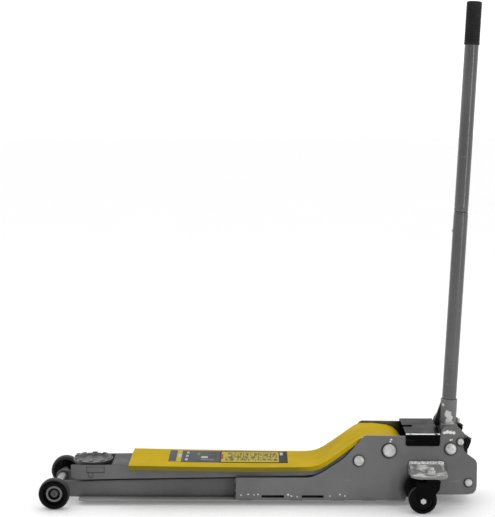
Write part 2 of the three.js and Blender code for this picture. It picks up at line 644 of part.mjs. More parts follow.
function saddleCarrier() {
  const outline = roundedPolygon([
    [SADDLE_X - 30, CARRIER_TOP_Z, 0], [SADDLE_X - 30, 68, 10],
    [SADDLE_X - 12, CARRIER_LINK_PIN[1] - 9, 8], [SADDLE_X + 12, CARRIER_LINK_PIN[1] - 9, 8],
    [SADDLE_X + 26, 66, 8], [CARRIER_REAR_X, 82, 6], [CARRIER_REAR_X, CARRIER_TOP_Z, 0]]);
  const cheek = plateY(outline, -40, -33);
  const table = box(SADDLE_X - 30, CARRIER_REAR_X, -40, 40, CARRIER_TOP_Z - 6.5, CARRIER_TOP_Z);
  const cheeks = [-1, 1].map((sign) => mirrored(cheek, sign));
  const hub = barZ([SADDLE_X, 0], 24, 62, CARRIER_TOP_Z - 5, SIDES);
  const studHole = barZ([SADDLE_X, 0], clearOf(SADDLE_STUD_RADIUS), 50, 100);
  const pinHole = barY([SADDLE_X, CARRIER_PIN_Z], clearOf(SADDLE_PIN_RADIUS), -90, 90);
  const studs = [-1, 1].map((sign) => mirrored(carrierStud(), sign));
  return cut(join(table, ...cheeks, hub, ...studs), studHole, pinHole);
}

// A stub pin on each side, so that the saddle's stud stays clear between them.
function saddlePin() {
  const centre = [SADDLE_X, CARRIER_PIN_Z];
  const shank = barY(centre, SADDLE_PIN_RADIUS, -ARM_FRONT_OUTER_Y + 1, -28);
  const collar = barY(centre, SADDLE_PIN_RADIUS + 3, -ARM_FRONT_OUTER_Y + ARM_WALL + 1, -41);
  return join(shank, collar);
}

// Toothed dish that swivels on a stud in its carrier.
function saddlePad() {
  const under = CARRIER_TOP_Z + GAP;
  const profile = [
    [0, 64], [SADDLE_STUD_RADIUS, 64], [SADDLE_STUD_RADIUS, under], [40, under],
    [47, under + 2.2], [SADDLE_RADIUS, under + 5.2], [SADDLE_RADIUS, 103], [43, 103],
    [39, SADDLE_FLOOR_Z], [0, SADDLE_FLOOR_Z]];
  const dish = turnedZ([SADDLE_X, 0], profile);
  const teeth = Array.from({ length: SADDLE_TEETH }, (_, i) => {
    const angle = ((i + 0.5) / SADDLE_TEETH) * 2 * Math.PI;
    const centre = [SADDLE_X + 45 * Math.cos(angle), 45 * Math.sin(angle)];
    return barZ(centre, 5, 100, 108, 6, 3.6);
  });
  return join(dish, ...teeth);
}

function levelingLink() {
  const [x0, z0] = CARRIER_LINK_PIN;
  const [x1, z1] = LINK_ANCHOR;
  const bar = polygon([
    [x0, z0 - 8], [-390, 37], [110, 46], [190, 56], [x1 - 40, z1 - 14], [x1 + 2, z1 - 9],
    [x1 + 2, z1 + 7], [x1 - 30, z1 + 3], [180, 69], [100, 58], [-395, 50], [x0, z0 + 8]]);
  const eyes = [CARRIER_LINK_PIN, LINK_ANCHOR]
    .map((centre) => barY(centre, 10, -LINK_OUTER_Y, -LINK_INNER_Y, 16));
  const link = join(plateY(bar, -LINK_OUTER_Y, -LINK_INNER_Y), ...eyes);
  const frontHole = barY(CARRIER_LINK_PIN, clearOf(LINK_PIN_RADIUS + 0.7), -60, -30);
  const rearHole = barY(LINK_ANCHOR, clearOf(LINK_PIN_RADIUS), -60, -30);
  return cut(link, frontHole, rearHole);
}

// A stud from the carrier's cheek out through a link, with its riveted head.
function carrierStud() {
  const shank = barY(CARRIER_LINK_PIN, LINK_PIN_RADIUS, -LINK_OUTER_Y - 1, -38);
  const head = barY(CARRIER_LINK_PIN, LINK_PIN_RADIUS + 3, -LINK_OUTER_Y - 2.8, -LINK_OUTER_Y - GAP);
  return join(shank, head);
}

// ---- hydraulic unit ----

const CYLINDER_FRONT_X = 398;
const RAM_BORE_END_X = 494;
const VALVE_RADIUS = 5;

function ramCylinder() {
  const body = barX([0, RAM_Z], 29, CYLINDER_FRONT_X, BLOCK_FRONT_X - GAP, SIDES);
  const collar = barX([0, RAM_Z], 32, CYLINDER_FRONT_X + 4, CYLINDER_FRONT_X + 16, SIDES);
  return cut(join(body, collar), barX([0, RAM_Z], clearOf(RAM_RADIUS), 380, 480));
}

function hydraulicBlock() {
  const outline = roundedPolygon([
    [BLOCK_FRONT_X, BLOCK_BOTTOM_Z, 5], [BLOCK_REAR_X, BLOCK_BOTTOM_Z, 5],
    [BLOCK_REAR_X, 84, 8], [524, BLOCK_TOP_Z, 6], [BLOCK_FRONT_X, BLOCK_TOP_Z, 6]]);
  const casting = plateY(outline, -BLOCK_HALF_Y, BLOCK_HALF_Y);
  const ramBore = barX([0, RAM_Z], clearOf(RAM_RADIUS), BLOCK_FRONT_X - 5, RAM_BORE_END_X);
  const pumpBore = barZ([PUMP_X, 0], clearOf(PLUNGER_RADIUS), 48, 120);
  const valveBore = barZ([HANDLE_PIVOT[0], 0], clearOf(VALVE_RADIUS), 88, 120);
  const rodBore = barY(TIE_ROD, clearOf(BOLT_RADIUS), -60, 60);
  return cut(casting, ramBore, pumpBore, valveBore, rodBore);
}

const PUMP_BARREL_TOP_Z = 117.5;

function pumpBarrel() {
  const nut = barZ([PUMP_X, 0], 13, BLOCK_TOP_Z + GAP, 112, 6);
  const gland = barZ([PUMP_X, 0], 11, 111, PUMP_BARREL_TOP_Z);
  return cut(join(nut, gland), barZ([PUMP_X, 0], clearOf(PLUNGER_RADIUS), 90, 130));
}

const PLUNGER_TOP_Z = 156.3;

function pumpPlunger() {
  const rod = barZ([PUMP_X, 0], PLUNGER_RADIUS, 84, PLUNGER_TOP_Z - 3);
  const cap = barZ([PUMP_X, 0], 11.5, PLUNGER_TOP_Z - 6, PLUNGER_TOP_Z, 24);
  return join(rod, cap);
}

function coil(path, wire) {
  const section = new THREE.Shape();
  section.absarc(0, 0, wire, 0, 2 * Math.PI);
  return solid(new THREE.ExtrudeGeometry(
    section, { steps: path.steps, extrudePath: path, bevelEnabled: false, curveSegments: 3 }));
}

const STEPS_PER_TURN = 8;

// A coil that winds from its start point along "x" or "z".
class Helix extends THREE.Curve {
  constructor(start, direction, reach, radius, turns) {
    super();
    Object.assign(this, { start, direction, reach, radius, turns, steps: turns * STEPS_PER_TURN });
  }

  getPoint(t) {
    const angle = t * this.turns * 2 * Math.PI;
    const across = this.radius * Math.cos(angle);
    const around = this.radius * Math.sin(angle);
    const along = t * this.reach;
    const offset = this.direction === "x"
      ? new THREE.Vector3(along, across, around)
      : new THREE.Vector3(across, around, along);
    return offset.add(this.start);
  }
}

function pumpSpring() {
  const [z0, z1] = [PUMP_BARREL_TOP_Z + 1.2, PLUNGER_TOP_Z - 7.2];
  return coil(new Helix(new THREE.Vector3(PUMP_X, 0, z0), "z", z1 - z0, 9.7, 4), 0.9);
}

// Slotted yoke on the ram that pushes the arm's lever pin forwards.
const CROSSHEAD_REAR_X = 392;

function crosshead() {
  const outline = roundedPolygon([
    [352, 46, 5], [CROSSHEAD_REAR_X, 46, 4], [CROSSHEAD_REAR_X, 88, 4], [352, 88, 5],
    [346, 70, 4], [328, 66, 4], [328, 54, 4]]);
  const body = plateY(outline, -24, 24);
  const bar = barY(SPRING_BAR, 4.5, -SPRING_Y - 4, SPRING_Y + 4);
  const [slotX, slotZ] = LEVER_PIN;
  const half = LEVER_PIN_RADIUS + 1.2;
  const slot = roundedPolygon([
    [slotX - half, slotZ - 21, 6], [slotX + half, slotZ - 21, 6],
    [slotX + half, slotZ + 10.5, 6], [slotX - half, slotZ + 10.5, 6]]);
  return cut(join(body, bar), plateY(slot, -50, 50));
}

function ramRod() {
  return barX([0, RAM_Z], RAM_RADIUS, CROSSHEAD_REAR_X + GAP, RAM_BORE_END_X - 2, SIDES);
}

function returnSpring() {
  const front = SPRING_BAR[0] + 7;
  const rear = TIE_ROD[0] - 8;
  const start = new THREE.Vector3(front, -SPRING_Y, SPRING_BAR[1]);
  return coil(new Helix(start, "x", rear - front, 4.6, 9), 1);
}

// ---- handle, in its own frame: origin at its pivot, +Z along the tube ----

const handle = new THREE.Group();
handle.position.set(HANDLE_PIVOT[0], 0, HANDLE_PIVOT[1]);
handle.rotation.y = HANDLE_LEAN;
jack.add(handle);

const CHEEK_INNER_Y = 34;
const CHEEK_OUTER_Y = 42;
const SOCKET_RADIUS = 21.4;
const ROLLER_CENTRE = [19.9, 16.8];
const CLAMP_HEIGHT = 54.5;
const TUBE_BORE = LOWER_TUBE_RADIUS + GAP;

function handleSocket() {
  const cheekOutline = new THREE.Shape();
  cheekOutline.moveTo(-20, SOCKET_FLOOR - 1);
  cheekOutline.lineTo(-20, 0);
  cheekOutline.absarc(0, 0, 20, Math.PI, 2 * Math.PI, false);
  cheekOutline.quadraticCurveTo(30, 8, 30, 18);
  cheekOutline.quadraticCurveTo(30, 28, 20, 34);
  cheekOutline.lineTo(20, SOCKET_FLOOR - 1);
  const cheek = plateY(cheekOutline, -CHEEK_OUTER_Y, -CHEEK_INNER_Y);
  const cheeks = [-1, 1].map((sign) => mirrored(cheek, sign));
  const bridge = box(-20, 20, -CHEEK_OUTER_Y, CHEEK_OUTER_Y, 36, SOCKET_FLOOR);
  const tube = barZ([0, 0], SOCKET_RADIUS, SOCKET_FLOOR - 1, SOCKET_TOP, SIDES);
  const gussetOutline = polygon([[-18, SOCKET_TOP - 2], [-35, 52], [-35, 42], [-18, 38]]);
  const gussetPlate = plateY(gussetOutline, -5, 5);
  const boss = barX([0, CLAMP_HEIGHT], 8, SOCKET_RADIUS - 2, SOCKET_RADIUS + 3);
  const tubeBore = barZ([0, 0], TUBE_BORE, SOCKET_FLOOR, SOCKET_TOP + 5, SIDES);
  const driveHole = barZ([0, 0], 8, 20, SOCKET_FLOOR + 5);
  const clampHole = barX([0, CLAMP_HEIGHT], clearOf(4), 12, 40);
  const pivotHole = barY([0, 0], clearOf(HANDLE_BOLT_RADIUS), -60, 60);
  const rollerHole = barY(ROLLER_CENTRE, clearOf(4), -60, 60);
  return cut(join(...cheeks, bridge, tube, gussetPlate, boss),
    tubeBore, driveHole, clampHole, pivotHole, rollerHole);
}

function clampBolt() {
  const shank = barX([0, CLAMP_HEIGHT], 4, LOWER_TUBE_RADIUS + 0.8, SOCKET_RADIUS + 5);
  const head = barX([0, CLAMP_HEIGHT], 6.5, SOCKET_RADIUS + 3 + GAP, SOCKET_RADIUS + 9, 6);
  return join(shank, head);
}

function pumpRoller() {
  return cut(barY(ROLLER_CENTRE, 8, -9, 9, 20), barY(ROLLER_CENTRE, clearOf(4), -20, 20));
}

function rollerPin() {
  return barY(ROLLER_CENTRE, 4, -CHEEK_OUTER_Y - 1, CHEEK_OUTER_Y + 1);
}

function tube(radius, wall, z0, z1, sides = SIDES) {
  return cut(barZ([0, 0], radius, z0, z1, sides), barZ([0, 0], radius - wall, z0 - 1, z1 + 1, sides));
}

function lowerTube() {
  const body = tube(LOWER_TUBE_RADIUS, TUBE_WALL, SOCKET_FLOOR + GAP, TUBE_JOINT);
  return cut(body, barX([0, BUTTON_HEIGHT], clearOf(3.5), -30, 0));
}

// The upper tube's lower end is drawn down to a spigot that slides into the lower tube.
function upperTube() {
  const spigot = LOWER_TUBE_RADIUS - TUBE_WALL - GAP;
  const bore = spigot - 2;
  const profile = [
    [bore, TUBE_JOINT - SPIGOT_LENGTH], [spigot, TUBE_JOINT - SPIGOT_LENGTH],
    [spigot, TUBE_JOINT + 1], [UPPER_TUBE_RADIUS, TUBE_JOINT + 6],
    [UPPER_TUBE_RADIUS, GRIP_END - 8], [UPPER_TUBE_RADIUS - TUBE_WALL, GRIP_END - 8],
    [UPPER_TUBE_RADIUS - TUBE_WALL, TUBE_JOINT + 8], [bore, TUBE_JOINT + 2],
    [bore, TUBE_JOINT - SPIGOT_LENGTH]];
  return cut(turnedZ([0, 0], profile), barX([0, BUTTON_HEIGHT], clearOf(3.5), -30, 0));
}

function springButton() {
  const tip = barX([0, BUTTON_HEIGHT], 3.5, -LOWER_TUBE_RADIUS - 2, -LOWER_TUBE_RADIUS + 8);
  const foot = barX([0, BUTTON_HEIGHT], 5, -LOWER_TUBE_RADIUS + 7.5, -LOWER_TUBE_RADIUS + 9.5);
  return join(tip, foot);
}

function handleGrip() {
  const r = GRIP_RADIUS;
  const profile = [
    [UPPER_TUBE_RADIUS + GAP, GRIP_START], [r, GRIP_START], [r, GRIP_END - 3],
    [r - 3.5, GRIP_END], [0, GRIP_END], [0, GRIP_END - 7], [UPPER_TUBE_RADIUS + GAP, GRIP_END - 7],
    [UPPER_TUBE_RADIUS + GAP, GRIP_START]];
  return turnedZ([0, 0], profile);
}

// Release valve: a stem in the block, and a universal joint on the handle's pivot line.
function releaseValveStem() {
  const x = HANDLE_PIVOT[0];
  const z = HANDLE_PIVOT[1];
  const stem = barZ([x, 0], VALVE_RADIUS, 89, 133);
  const base = barZ([x, 0], 9, z - 19, z - 14);
  const prongs = [-1, 1].map((side) => {
    const y = side * 7.5;
    const prong = box(x - 4.5, x + 4.5, y - 1.5, y + 1.5, z - 15, z + 4);
    return cut(prong, barY([x, z], clearOf(2.6), -20, 20));
  });
  return join(stem, base, ...prongs);
}

function releaseDriveFork() {
  const stem = barZ([0, 0], VALVE_RADIUS, 15, SOCKET_FLOOR + 14);
  const base = barZ([0, 0], 9, 13, 17);
  const prongs = [-1, 1].map((side) => {
    const x = side * 7.5;
    return box(Math.min(x - 1.5, x + 1.5), Math.max(x - 1.5, x + 1.5), -3, 3, -4, 14);
  });
  const crossAlongX = barX([0, 0], 2, -8, 8, 16);
  const crossAlongY = barY([0, 0], 2, -8.8, 8.8, 16);
  const drivePin = barY([0, SOCKET_FLOOR + 8], 3, -14, 14);
  return join(stem, base, ...prongs, crossAlongX, crossAlongY, drivePin);
}

// ---- assembly ----

addPair("side_plate", sidePlate(), greyPaint);
addPair("front_rail", frontRail(), greyPaint);
addMesh("front_cross_member", frontCrossMember(), greyPaint);
addMesh("rear_cross_pan", rearCrossPan(), greyPaint);
addMesh("top_cover", topCover(), blackPaint);
addMesh("front_axle", frontAxle(), steel);
addPair("front_wheel", frontWheel(), rubber);
addPair("caster_bracket", casterBracket(), greyPaint);
addPair("caster_fork", casterFork(), blackPaint);
addPair("caster_wheel", casterWheel(), rubber);
addPair("caster_axle", casterAxle(), zinc);
addPair("king_nut", kingNut(), zinc);

addMesh("arm_pivot_shaft", armPivotShaft(), zinc);
addPair("handle_pivot_bolt",
  shoulderBolt(HANDLE_PIVOT, 14, 9, HANDLE_BOLT_RADIUS, -CHEEK_INNER_Y + 1), zinc);
addPair("frame_bolt", shoulderBolt(FRAME_BOLT, 13, 9, BOLT_RADIUS, -ARM_OUTER_Y - 1.5), zinc);
addPair("bumper_bolt", shoulderBolt(BUMPER_BOLT, 8.6, 6, BOLT_RADIUS, -60), zinc);
addPair("rubber_bumper", rubberBumper(), rubber);
addMesh("rear_tie_rod", tieRod(), zinc);

addMesh("lift_arm", liftArm(), greyPaint);
addMesh("arm_cover", armCover(), yellowPaint);
addMesh("lever_pin", leverPin(), steel);
addPair("saddle_pin", saddlePin(), steel);
addMesh("saddle_carrier", saddleCarrier(), greyPaint);
addMesh("saddle_pad", saddlePad(), castIron);
addPair("leveling_link", levelingLink(), steel);

addMesh("hydraulic_block", hydraulicBlock(), castIron);
addMesh("ram_cylinder", ramCylinder(), castIron);
addMesh("ram_rod", ramRod(), steel);
addMesh("crosshead", crosshead(), castIron);
addPair("return_spring", returnSpring(), steel);
addMesh("pump_barrel", pumpBarrel(), steel);
addMesh("pump_plunger", pumpPlunger(), steel);
addMesh("pump_spring", pumpSpring(), steel);
addMesh("release_valve_stem", releaseValveStem(), steel);

addMesh("handle_socket", handleSocket(), greyPaint, handle);
addMesh("clamp_bolt", clampBolt(), zinc, handle);
addMesh("pump_roller", pumpRoller(), steel, handle);
addMesh("roller_pin", rollerPin(), steel, handle);
addMesh("release_drive_fork", releaseDriveFork(), steel, handle);
addMesh("handle_lower_tube", lowerTube(), greyPaint, handle);
addMesh("handle_upper_tube", upperTube(), greyPaint, handle);
addMesh("spring_button", springButton(), zinc, handle);
addMesh("handle_grip", handleGrip(), rubber, handle);

export default jack;
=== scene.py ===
"""Looks of a long-chassis trolley jack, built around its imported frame. Metres, +Z up."""

import json
import math
import random

import bmesh
import bpy
from mathutils import Matrix, Vector
from mathutils.bvhtree import BVHTree


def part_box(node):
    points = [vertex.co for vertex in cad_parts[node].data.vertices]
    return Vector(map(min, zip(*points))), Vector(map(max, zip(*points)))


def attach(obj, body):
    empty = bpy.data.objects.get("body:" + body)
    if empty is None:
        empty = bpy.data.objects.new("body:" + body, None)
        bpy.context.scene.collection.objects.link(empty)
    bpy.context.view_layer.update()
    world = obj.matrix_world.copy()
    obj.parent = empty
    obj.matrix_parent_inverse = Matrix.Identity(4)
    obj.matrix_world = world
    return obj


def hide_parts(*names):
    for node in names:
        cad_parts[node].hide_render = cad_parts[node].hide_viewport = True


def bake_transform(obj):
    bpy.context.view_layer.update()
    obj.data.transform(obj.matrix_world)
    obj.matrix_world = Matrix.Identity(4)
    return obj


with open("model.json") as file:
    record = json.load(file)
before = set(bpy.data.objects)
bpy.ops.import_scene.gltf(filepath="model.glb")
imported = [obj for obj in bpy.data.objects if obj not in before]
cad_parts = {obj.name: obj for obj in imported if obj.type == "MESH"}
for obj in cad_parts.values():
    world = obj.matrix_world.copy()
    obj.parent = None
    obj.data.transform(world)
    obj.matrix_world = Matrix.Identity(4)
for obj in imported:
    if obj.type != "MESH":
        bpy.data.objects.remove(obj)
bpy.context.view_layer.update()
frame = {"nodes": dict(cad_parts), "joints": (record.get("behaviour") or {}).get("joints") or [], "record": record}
BODIES = frame["record"]["behaviour"]["bodies"]
BODY_OF = {node: body for body, nodes in BODIES.items() for node in nodes}
TWIST = next(joint for joint in frame["joints"] if joint["name"] == "handle_twist")

MM = 0.001
TURN = 2 * math.pi
FINE_SIDES = 64
MERGE_DISTANCE = 2e-6
FLAT_ANGLE = math.radians(0.05)
SHARP_ANGLE = math.radians(32)

CAMERA_PLACE = (0.0012, -3.624, 1.040)
CAMERA_TILT = math.radians(83.4)
CAMERA_PAN = math.radians(0.5)
CAMERA_LENS = 104.36
WORLD_FADE = (-0.7, 0.35, 0.34, 1.3)  # from Y, to Y, strength in front, strength behind
FLOOR_SIZE = 60
# Name, place, aim, width, height and power of each studio light.
SOFTBOXES = (
    ("key", (-1.6, -2.6, 3.4), (0, 0, 0.2), 2.6, 2.0, 14),
    ("strip", (2.5, -2.9, 1.2), (0.5, 0, 0.6), 0.5, 2.2, 26),
    ("top", (0.2, 0.6, 3.8), (0, 0, 0), 3.0, 2.0, 14))

PLATE_FACE = 86.3 * MM  # the outer faces of the side plates, from the middle
PIVOT = TWIST["pos_m"]
LEAN = math.atan2(TWIST["axis"][0], TWIST["axis"][2])  # of the upright handle, towards the rear


def box_centre(node):
    low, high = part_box(node)
    return (low + high) / 2


def both(name):
    return [f"left_{name}", f"right_{name}"]


def outward_sign(node):
    """-1 for a left piece and 1 for a right one."""
    return -1 if node.startswith("left_") else 1


def in_metres(profile):
    """A profile of (radius, height) pairs, given in millimetres."""
    return [(radius * MM, height * MM) for radius, height in profile]


# ---- camera, light and floor ----

def add_camera():
    data = bpy.data.cameras.new("camera")
    data.sensor_fit = "HORIZONTAL"
    data.sensor_width = 36
    data.lens = CAMERA_LENS
    camera = bpy.data.objects.new("camera", data)
    camera.location = CAMERA_PLACE
    camera.rotation_euler = (CAMERA_TILT, 0, CAMERA_PAN)
    bpy.context.scene.collection.objects.link(camera)
    bpy.context.scene.camera = camera


def add_softbox(name, place, aim, width, height, power):
    data = bpy.data.lights.new(name, "AREA")
    data.shape = "RECTANGLE"
    data.size = width
    data.size_y = height
    data.energy = power
    light = bpy.data.objects.new(name, data)
    light.location = place
    direction = Vector(aim) - Vector(place)
    light.rotation_euler = direction.to_track_quat("-Z", "Y").to_euler()
    bpy.context.scene.collection.objects.link(light)


def add_world():
    """A white studio dome, dimmer on the side where the camera stands."""
    world = bpy.data.worlds.new("studio")
    world.use_nodes = True
    nodes, links = world.node_tree.nodes, world.node_tree.links
    direction = nodes.new("ShaderNodeTexCoord")
    axes = nodes.new("ShaderNodeSeparateXYZ")
    links.new(direction.outputs["Generated"], axes.inputs["Vector"])
    fade = nodes.new("ShaderNodeMapRange")
    links.new(axes.outputs["Y"], fade.inputs["Value"])
    for socket, number in zip(("From Min", "From Max", "To Min", "To Max"), WORLD_FADE):
        fade.inputs[socket].default_value = number
    background = nodes["Background"]
    background.inputs["Color"].default_value = (1, 1, 1, 1)
    links.new(fade.outputs["Result"], background.inputs["Strength"])
    bpy.context.scene.world = world


def add_floor(material):
    bpy.ops.mesh.primitive_plane_add(size=FLOOR_SIZE, location=(0, 0, 0))
    floor = bpy.context.object
    floor.name = "floor"
    floor.data.materials.append(material)


# ---- materials ----

# Black of the black paint, and of the painted shade that overlays lay on the plates, arm and socket.
PAINT_AND_SHADE_BLACK = (0.002, 0.002, 0.002)
# White of chips and scratches, and of painted highlights on the side plates and the handle socket.
CHIP_AND_HIGHLIGHT_WHITE = (0.75, 0.75, 0.72)
# Colour of the painted shade in seams and corners.
SEAM_SHADE = (0.006, 0.006, 0.006)
SEAM_REACH = 10 * MM


class Surface:
    """A principled material, with short calls that add the nodes for its detail."""

    def __init__(self, name, **sockets):
        self.material = bpy.data.materials.new(f"{name}_finish")
        self.material.use_nodes = True
        self.tree = self.material.node_tree
        self.shader = self.tree.nodes["Principled BSDF"]
        for socket, value in sockets.items():
            self.shader.inputs[socket.replace("_", " ")].default_value = value
        self.place = self.node("ShaderNodeTexCoord").outputs["Object"]

    def node(self, kind, **settings):
        made = self.tree.nodes.new(kind)
        for key, value in settings.items():
            setattr(made, key, value)
        return made

    def link(self, output, socket):
        self.tree.links.new(output, socket)

    def scaled(self, stretch):
        mapping = self.node("ShaderNodeMapping")
        mapping.inputs["Scale"].default_value = stretch
        self.link(self.place, mapping.inputs["Vector"])
        return mapping.outputs["Vector"]

    def noise(self, scale, detail=4, roughness=0.55, stretch=(1, 1, 1)):
        noise = self.node("ShaderNodeTexNoise")
        noise.inputs["Scale"].default_value = scale
        noise.inputs["Detail"].default_value = detail
        noise.inputs["Roughness"].default_value = roughness
        self.link(self.scaled(stretch), noise.inputs["Vector"])
        return noise.outputs["Fac"]

    def span(self, value, low, high, start=0.0, end=1.0):
        """The value from low to high, remapped to run from start to end."""
        remap = self.node("ShaderNodeMapRange")
        self.link(value, remap.inputs["Value"])
        for socket, number in zip(("From Min", "From Max", "To Min", "To Max"), (low, high, start, end)):
            remap.inputs[socket].default_value = number
        return remap.outputs["Result"]

    def math(self, operation, first, second):
        node = self.node("ShaderNodeMath", operation=operation)
        for socket, value in zip(node.inputs, (first, second)):
            if isinstance(value, (int, float)):
                socket.default_value = value
            else:
                self.link(value, socket)
        return node.outputs[0]

    def mix(self, amount, first, second):
        """One colour or colour output blended into another by an amount output."""
        node = self.node("ShaderNodeMix", data_type="RGBA")
        self.link(amount, node.inputs["Factor"])
        for socket, value in ((node.inputs[6], first), (node.inputs[7], second)):
            if isinstance(value, tuple):
                socket.default_value = (*value, 1)
            else:
                self.link(value, socket)
        return node.outputs[2]

    def edges(self, radius):
        """1 on outer and inner edges of about this radius, 0 on open faces."""
        bevel = self.node("ShaderNodeBevel", samples=4)
        bevel.inputs["Radius"].default_value = radius
        normal = self.node("ShaderNodeNewGeometry").outputs["Normal"]
        alike = self.node("ShaderNodeVectorMath", operation="DOT_PRODUCT")
        self.link(bevel.outputs["Normal"], alike.inputs[0])
        self.link(normal, alike.inputs[1])
        return self.span(alike.outputs["Value"], 0.995, 0.9)

    def occlusion(self, distance):
        """1 in the open, falling towards 0 in seams and corners within the distance."""
        shade = self.node("ShaderNodeAmbientOcclusion", samples=4)
        shade.inputs["Distance"].default_value = distance
        return shade.outputs["AO"]

    def facing(self, axis):
        """The X, Y or Z part of each face's own normal."""
        axes = self.node("ShaderNodeSeparateXYZ")
        self.link(self.node("ShaderNodeNewGeometry").outputs["True Normal"], axes.inputs["Vector"])
        return axes.outputs[axis]

    def absolute(self, value):
        return self.math("ABSOLUTE", value, 0)

    def sideways(self):
        """Distance of each point from the jack's middle plane."""
        return self.absolute(self.along((0, 1, 0)))

    def along(self, direction):
        """Distance of each point along a direction, from the origin."""
        product = self.node("ShaderNodeVectorMath", operation="DOT_PRODUCT")
        self.link(self.place, product.inputs[0])
        product.inputs[1].default_value = direction
        return product.outputs["Value"]

    def spot(self, centre, radius):
        """1 inside a ragged spot about a point, 0 outside."""
        distance = self.node("ShaderNodeVectorMath", operation="DISTANCE")
        self.link(self.place, distance.inputs[0])
        distance.inputs[1].default_value = centre
        ragged = self.math("MULTIPLY", self.noise(420, 3), 2 * radius)
        return self.math("LESS_THAN", distance.outputs["Value"], ragged)

    def colour(self, output):
        self.link(output, self.shader.inputs["Base Color"])

    def roughness(self, output):
        self.link(output, self.shader.inputs["Roughness"])

    def metal(self, output):
        self.link(output, self.shader.inputs["Metallic"])

    def bump(self, height, distance, strength=1.0):
        bump = self.node("ShaderNodeBump")
        bump.inputs["Distance"].default_value = distance
        bump.inputs["Strength"].default_value = strength
        self.link(height, bump.inputs["Height"])
        self.link(bump.outputs["Normal"], self.shader.inputs["Normal"])


def painted(name, colour, worn, roughness, chips, spots=(), overlay=None, **sockets):
    """Sprayed paint on steel: cloudy tone, scuffs, chipped edges, painted shade in seams and corners, and orange
    peel.

    An overlay is a mask function and the colour that covers the paint where it is 1; the overlays lay painted
    shade, painted highlights or painted light on their parts. Spots are chips and scratches, and on some parts
    painted highlights."""
    surface = Surface(name, **sockets)
    dark = tuple(channel * 0.85 for channel in colour)
    light = tuple(min(channel * 1.14, 1) for channel in colour)
    tone = surface.mix(surface.span(surface.noise(7, 5), 0.3, 0.7), dark, light)
    scuffs = surface.span(surface.noise(38, 8, 0.75, (0.35, 1, 1.6)), 0.63, 0.72)
    tone = surface.mix(surface.math("MULTIPLY", scuffs, 0.35), tone, worn)
    if overlay:
        mask, covering = overlay
        tone = surface.mix(mask(surface), tone, covering)
    rubbed = surface.span(surface.noise(55, 6, 0.7), 1 - chips, 1.02 - chips * 0.72)
    wear = surface.math("MULTIPLY", surface.edges(1.4 * MM), rubbed)
    tone = surface.mix(wear, tone, worn)
    for centre, radius in spots:
        tone = surface.mix(surface.spot(centre, radius), tone, CHIP_AND_HIGHLIGHT_WHITE)
    # Painted shade: darker in seams and corners found by ambient occlusion.
    seams = surface.math("MULTIPLY", surface.span(surface.occlusion(SEAM_REACH), 0.82, 0.3), 0.95)
    surface.colour(surface.mix(seams, tone, SEAM_SHADE))
    surface.metal(surface.math("MULTIPLY", wear, 0.7))
    surface.roughness(surface.span(surface.noise(22, 5), 0.3, 0.7, roughness - 0.07, roughness + 0.1))
    surface.bump(surface.noise(520, 2), 0.1 * MM, 0.35)
    return surface.material


def plated(name, colour, roughness, grime, metallic):
    """Zinc plate or bare steel: blotchy tone, grime in patches, painted shade in seams and a fine grain."""
    surface = Surface(name, Metallic=metallic)
    dull = tuple(channel * 0.55 for channel in colour)
    tone = surface.mix(surface.span(surface.noise(90, 6, 0.65), 0.32, 0.68), dull, colour)
    stains = surface.span(surface.noise(45, 7, 0.7), 0.62 - grime, 0.8 - grime)
    stained = surface.mix(surface.math("MULTIPLY", stains, 0.6), tone, (0.035, 0.032, 0.03))
    # Painted shade: darker in seams and corners found by ambient occlusion.
    seams = surface.math("MULTIPLY", surface.span(surface.occlusion(SEAM_REACH), 0.6, 0.2), 0.8)
    surface.colour(surface.mix(seams, stained, SEAM_SHADE))
    surface.roughness(surface.span(surface.noise(160, 4), 0.3, 0.7, roughness - 0.08, roughness + 0.14))
    surface.bump(surface.noise(900, 3), 0.06 * MM, 0.4)
    return surface.material


def cast(name, colour, roughness):
    """Sand-cast iron: a grainy skin with darker pits and rubbed high spots."""
    surface = Surface(name, Metallic=0.35)
    grain = surface.noise(420, 6, 0.7)
    dark = tuple(channel * 0.5 for channel in colour)
    tone = surface.mix(surface.span(grain, 0.35, 0.65), dark, colour)
    rubbed = surface.math("MULTIPLY", surface.edges(1.6 * MM), surface.span(surface.noise(70), 0.45, 0.6))
    surface.colour(surface.mix(rubbed, tone, (0.42, 0.41, 0.4)))
    surface.roughness(surface.span(surface.noise(120, 5), 0.3, 0.7, roughness - 0.1, roughness + 0.1))
    surface.bump(grain, 0.35 * MM, 0.6)
    return surface.material


def moulded(name, colour, roughness, grain_scale, dust):
    """Moulded rubber or hard polymer: even tone, pale dust in patches and a moulded grain."""
    surface = Surface(name, Specular_IOR_Level=0.08)
    tone = surface.mix(surface.span(surface.noise(18, 5), 0.3, 0.7), colour,
                       tuple(channel * 1.6 for channel in colour))
    patches = surface.span(surface.noise(60, 8, 0.75), 0.56, 0.8)
    surface.colour(surface.mix(surface.math("MULTIPLY", patches, dust), tone, (0.2, 0.19, 0.17)))
    surface.roughness(surface.span(surface.noise(40, 5), 0.3, 0.7, roughness - 0.1, roughness + 0.12))
    surface.bump(surface.noise(grain_scale, 4, 0.6), 0.15 * MM, 0.5)
    return surface.material


def weld_metal():
    surface = Surface("weld_metal", Metallic=0.2)
    ripple = surface.noise(330, 5, 0.7)
    surface.colour(surface.mix(surface.span(ripple, 0.38, 0.55), (0.22, 0.22, 0.22), (0.95, 0.95, 0.94)))
    surface.roughness(surface.span(surface.noise(210, 4), 0.3, 0.7, 0.3, 0.6))
    surface.bump(ripple, 0.5 * MM, 0.8)
    return surface.material


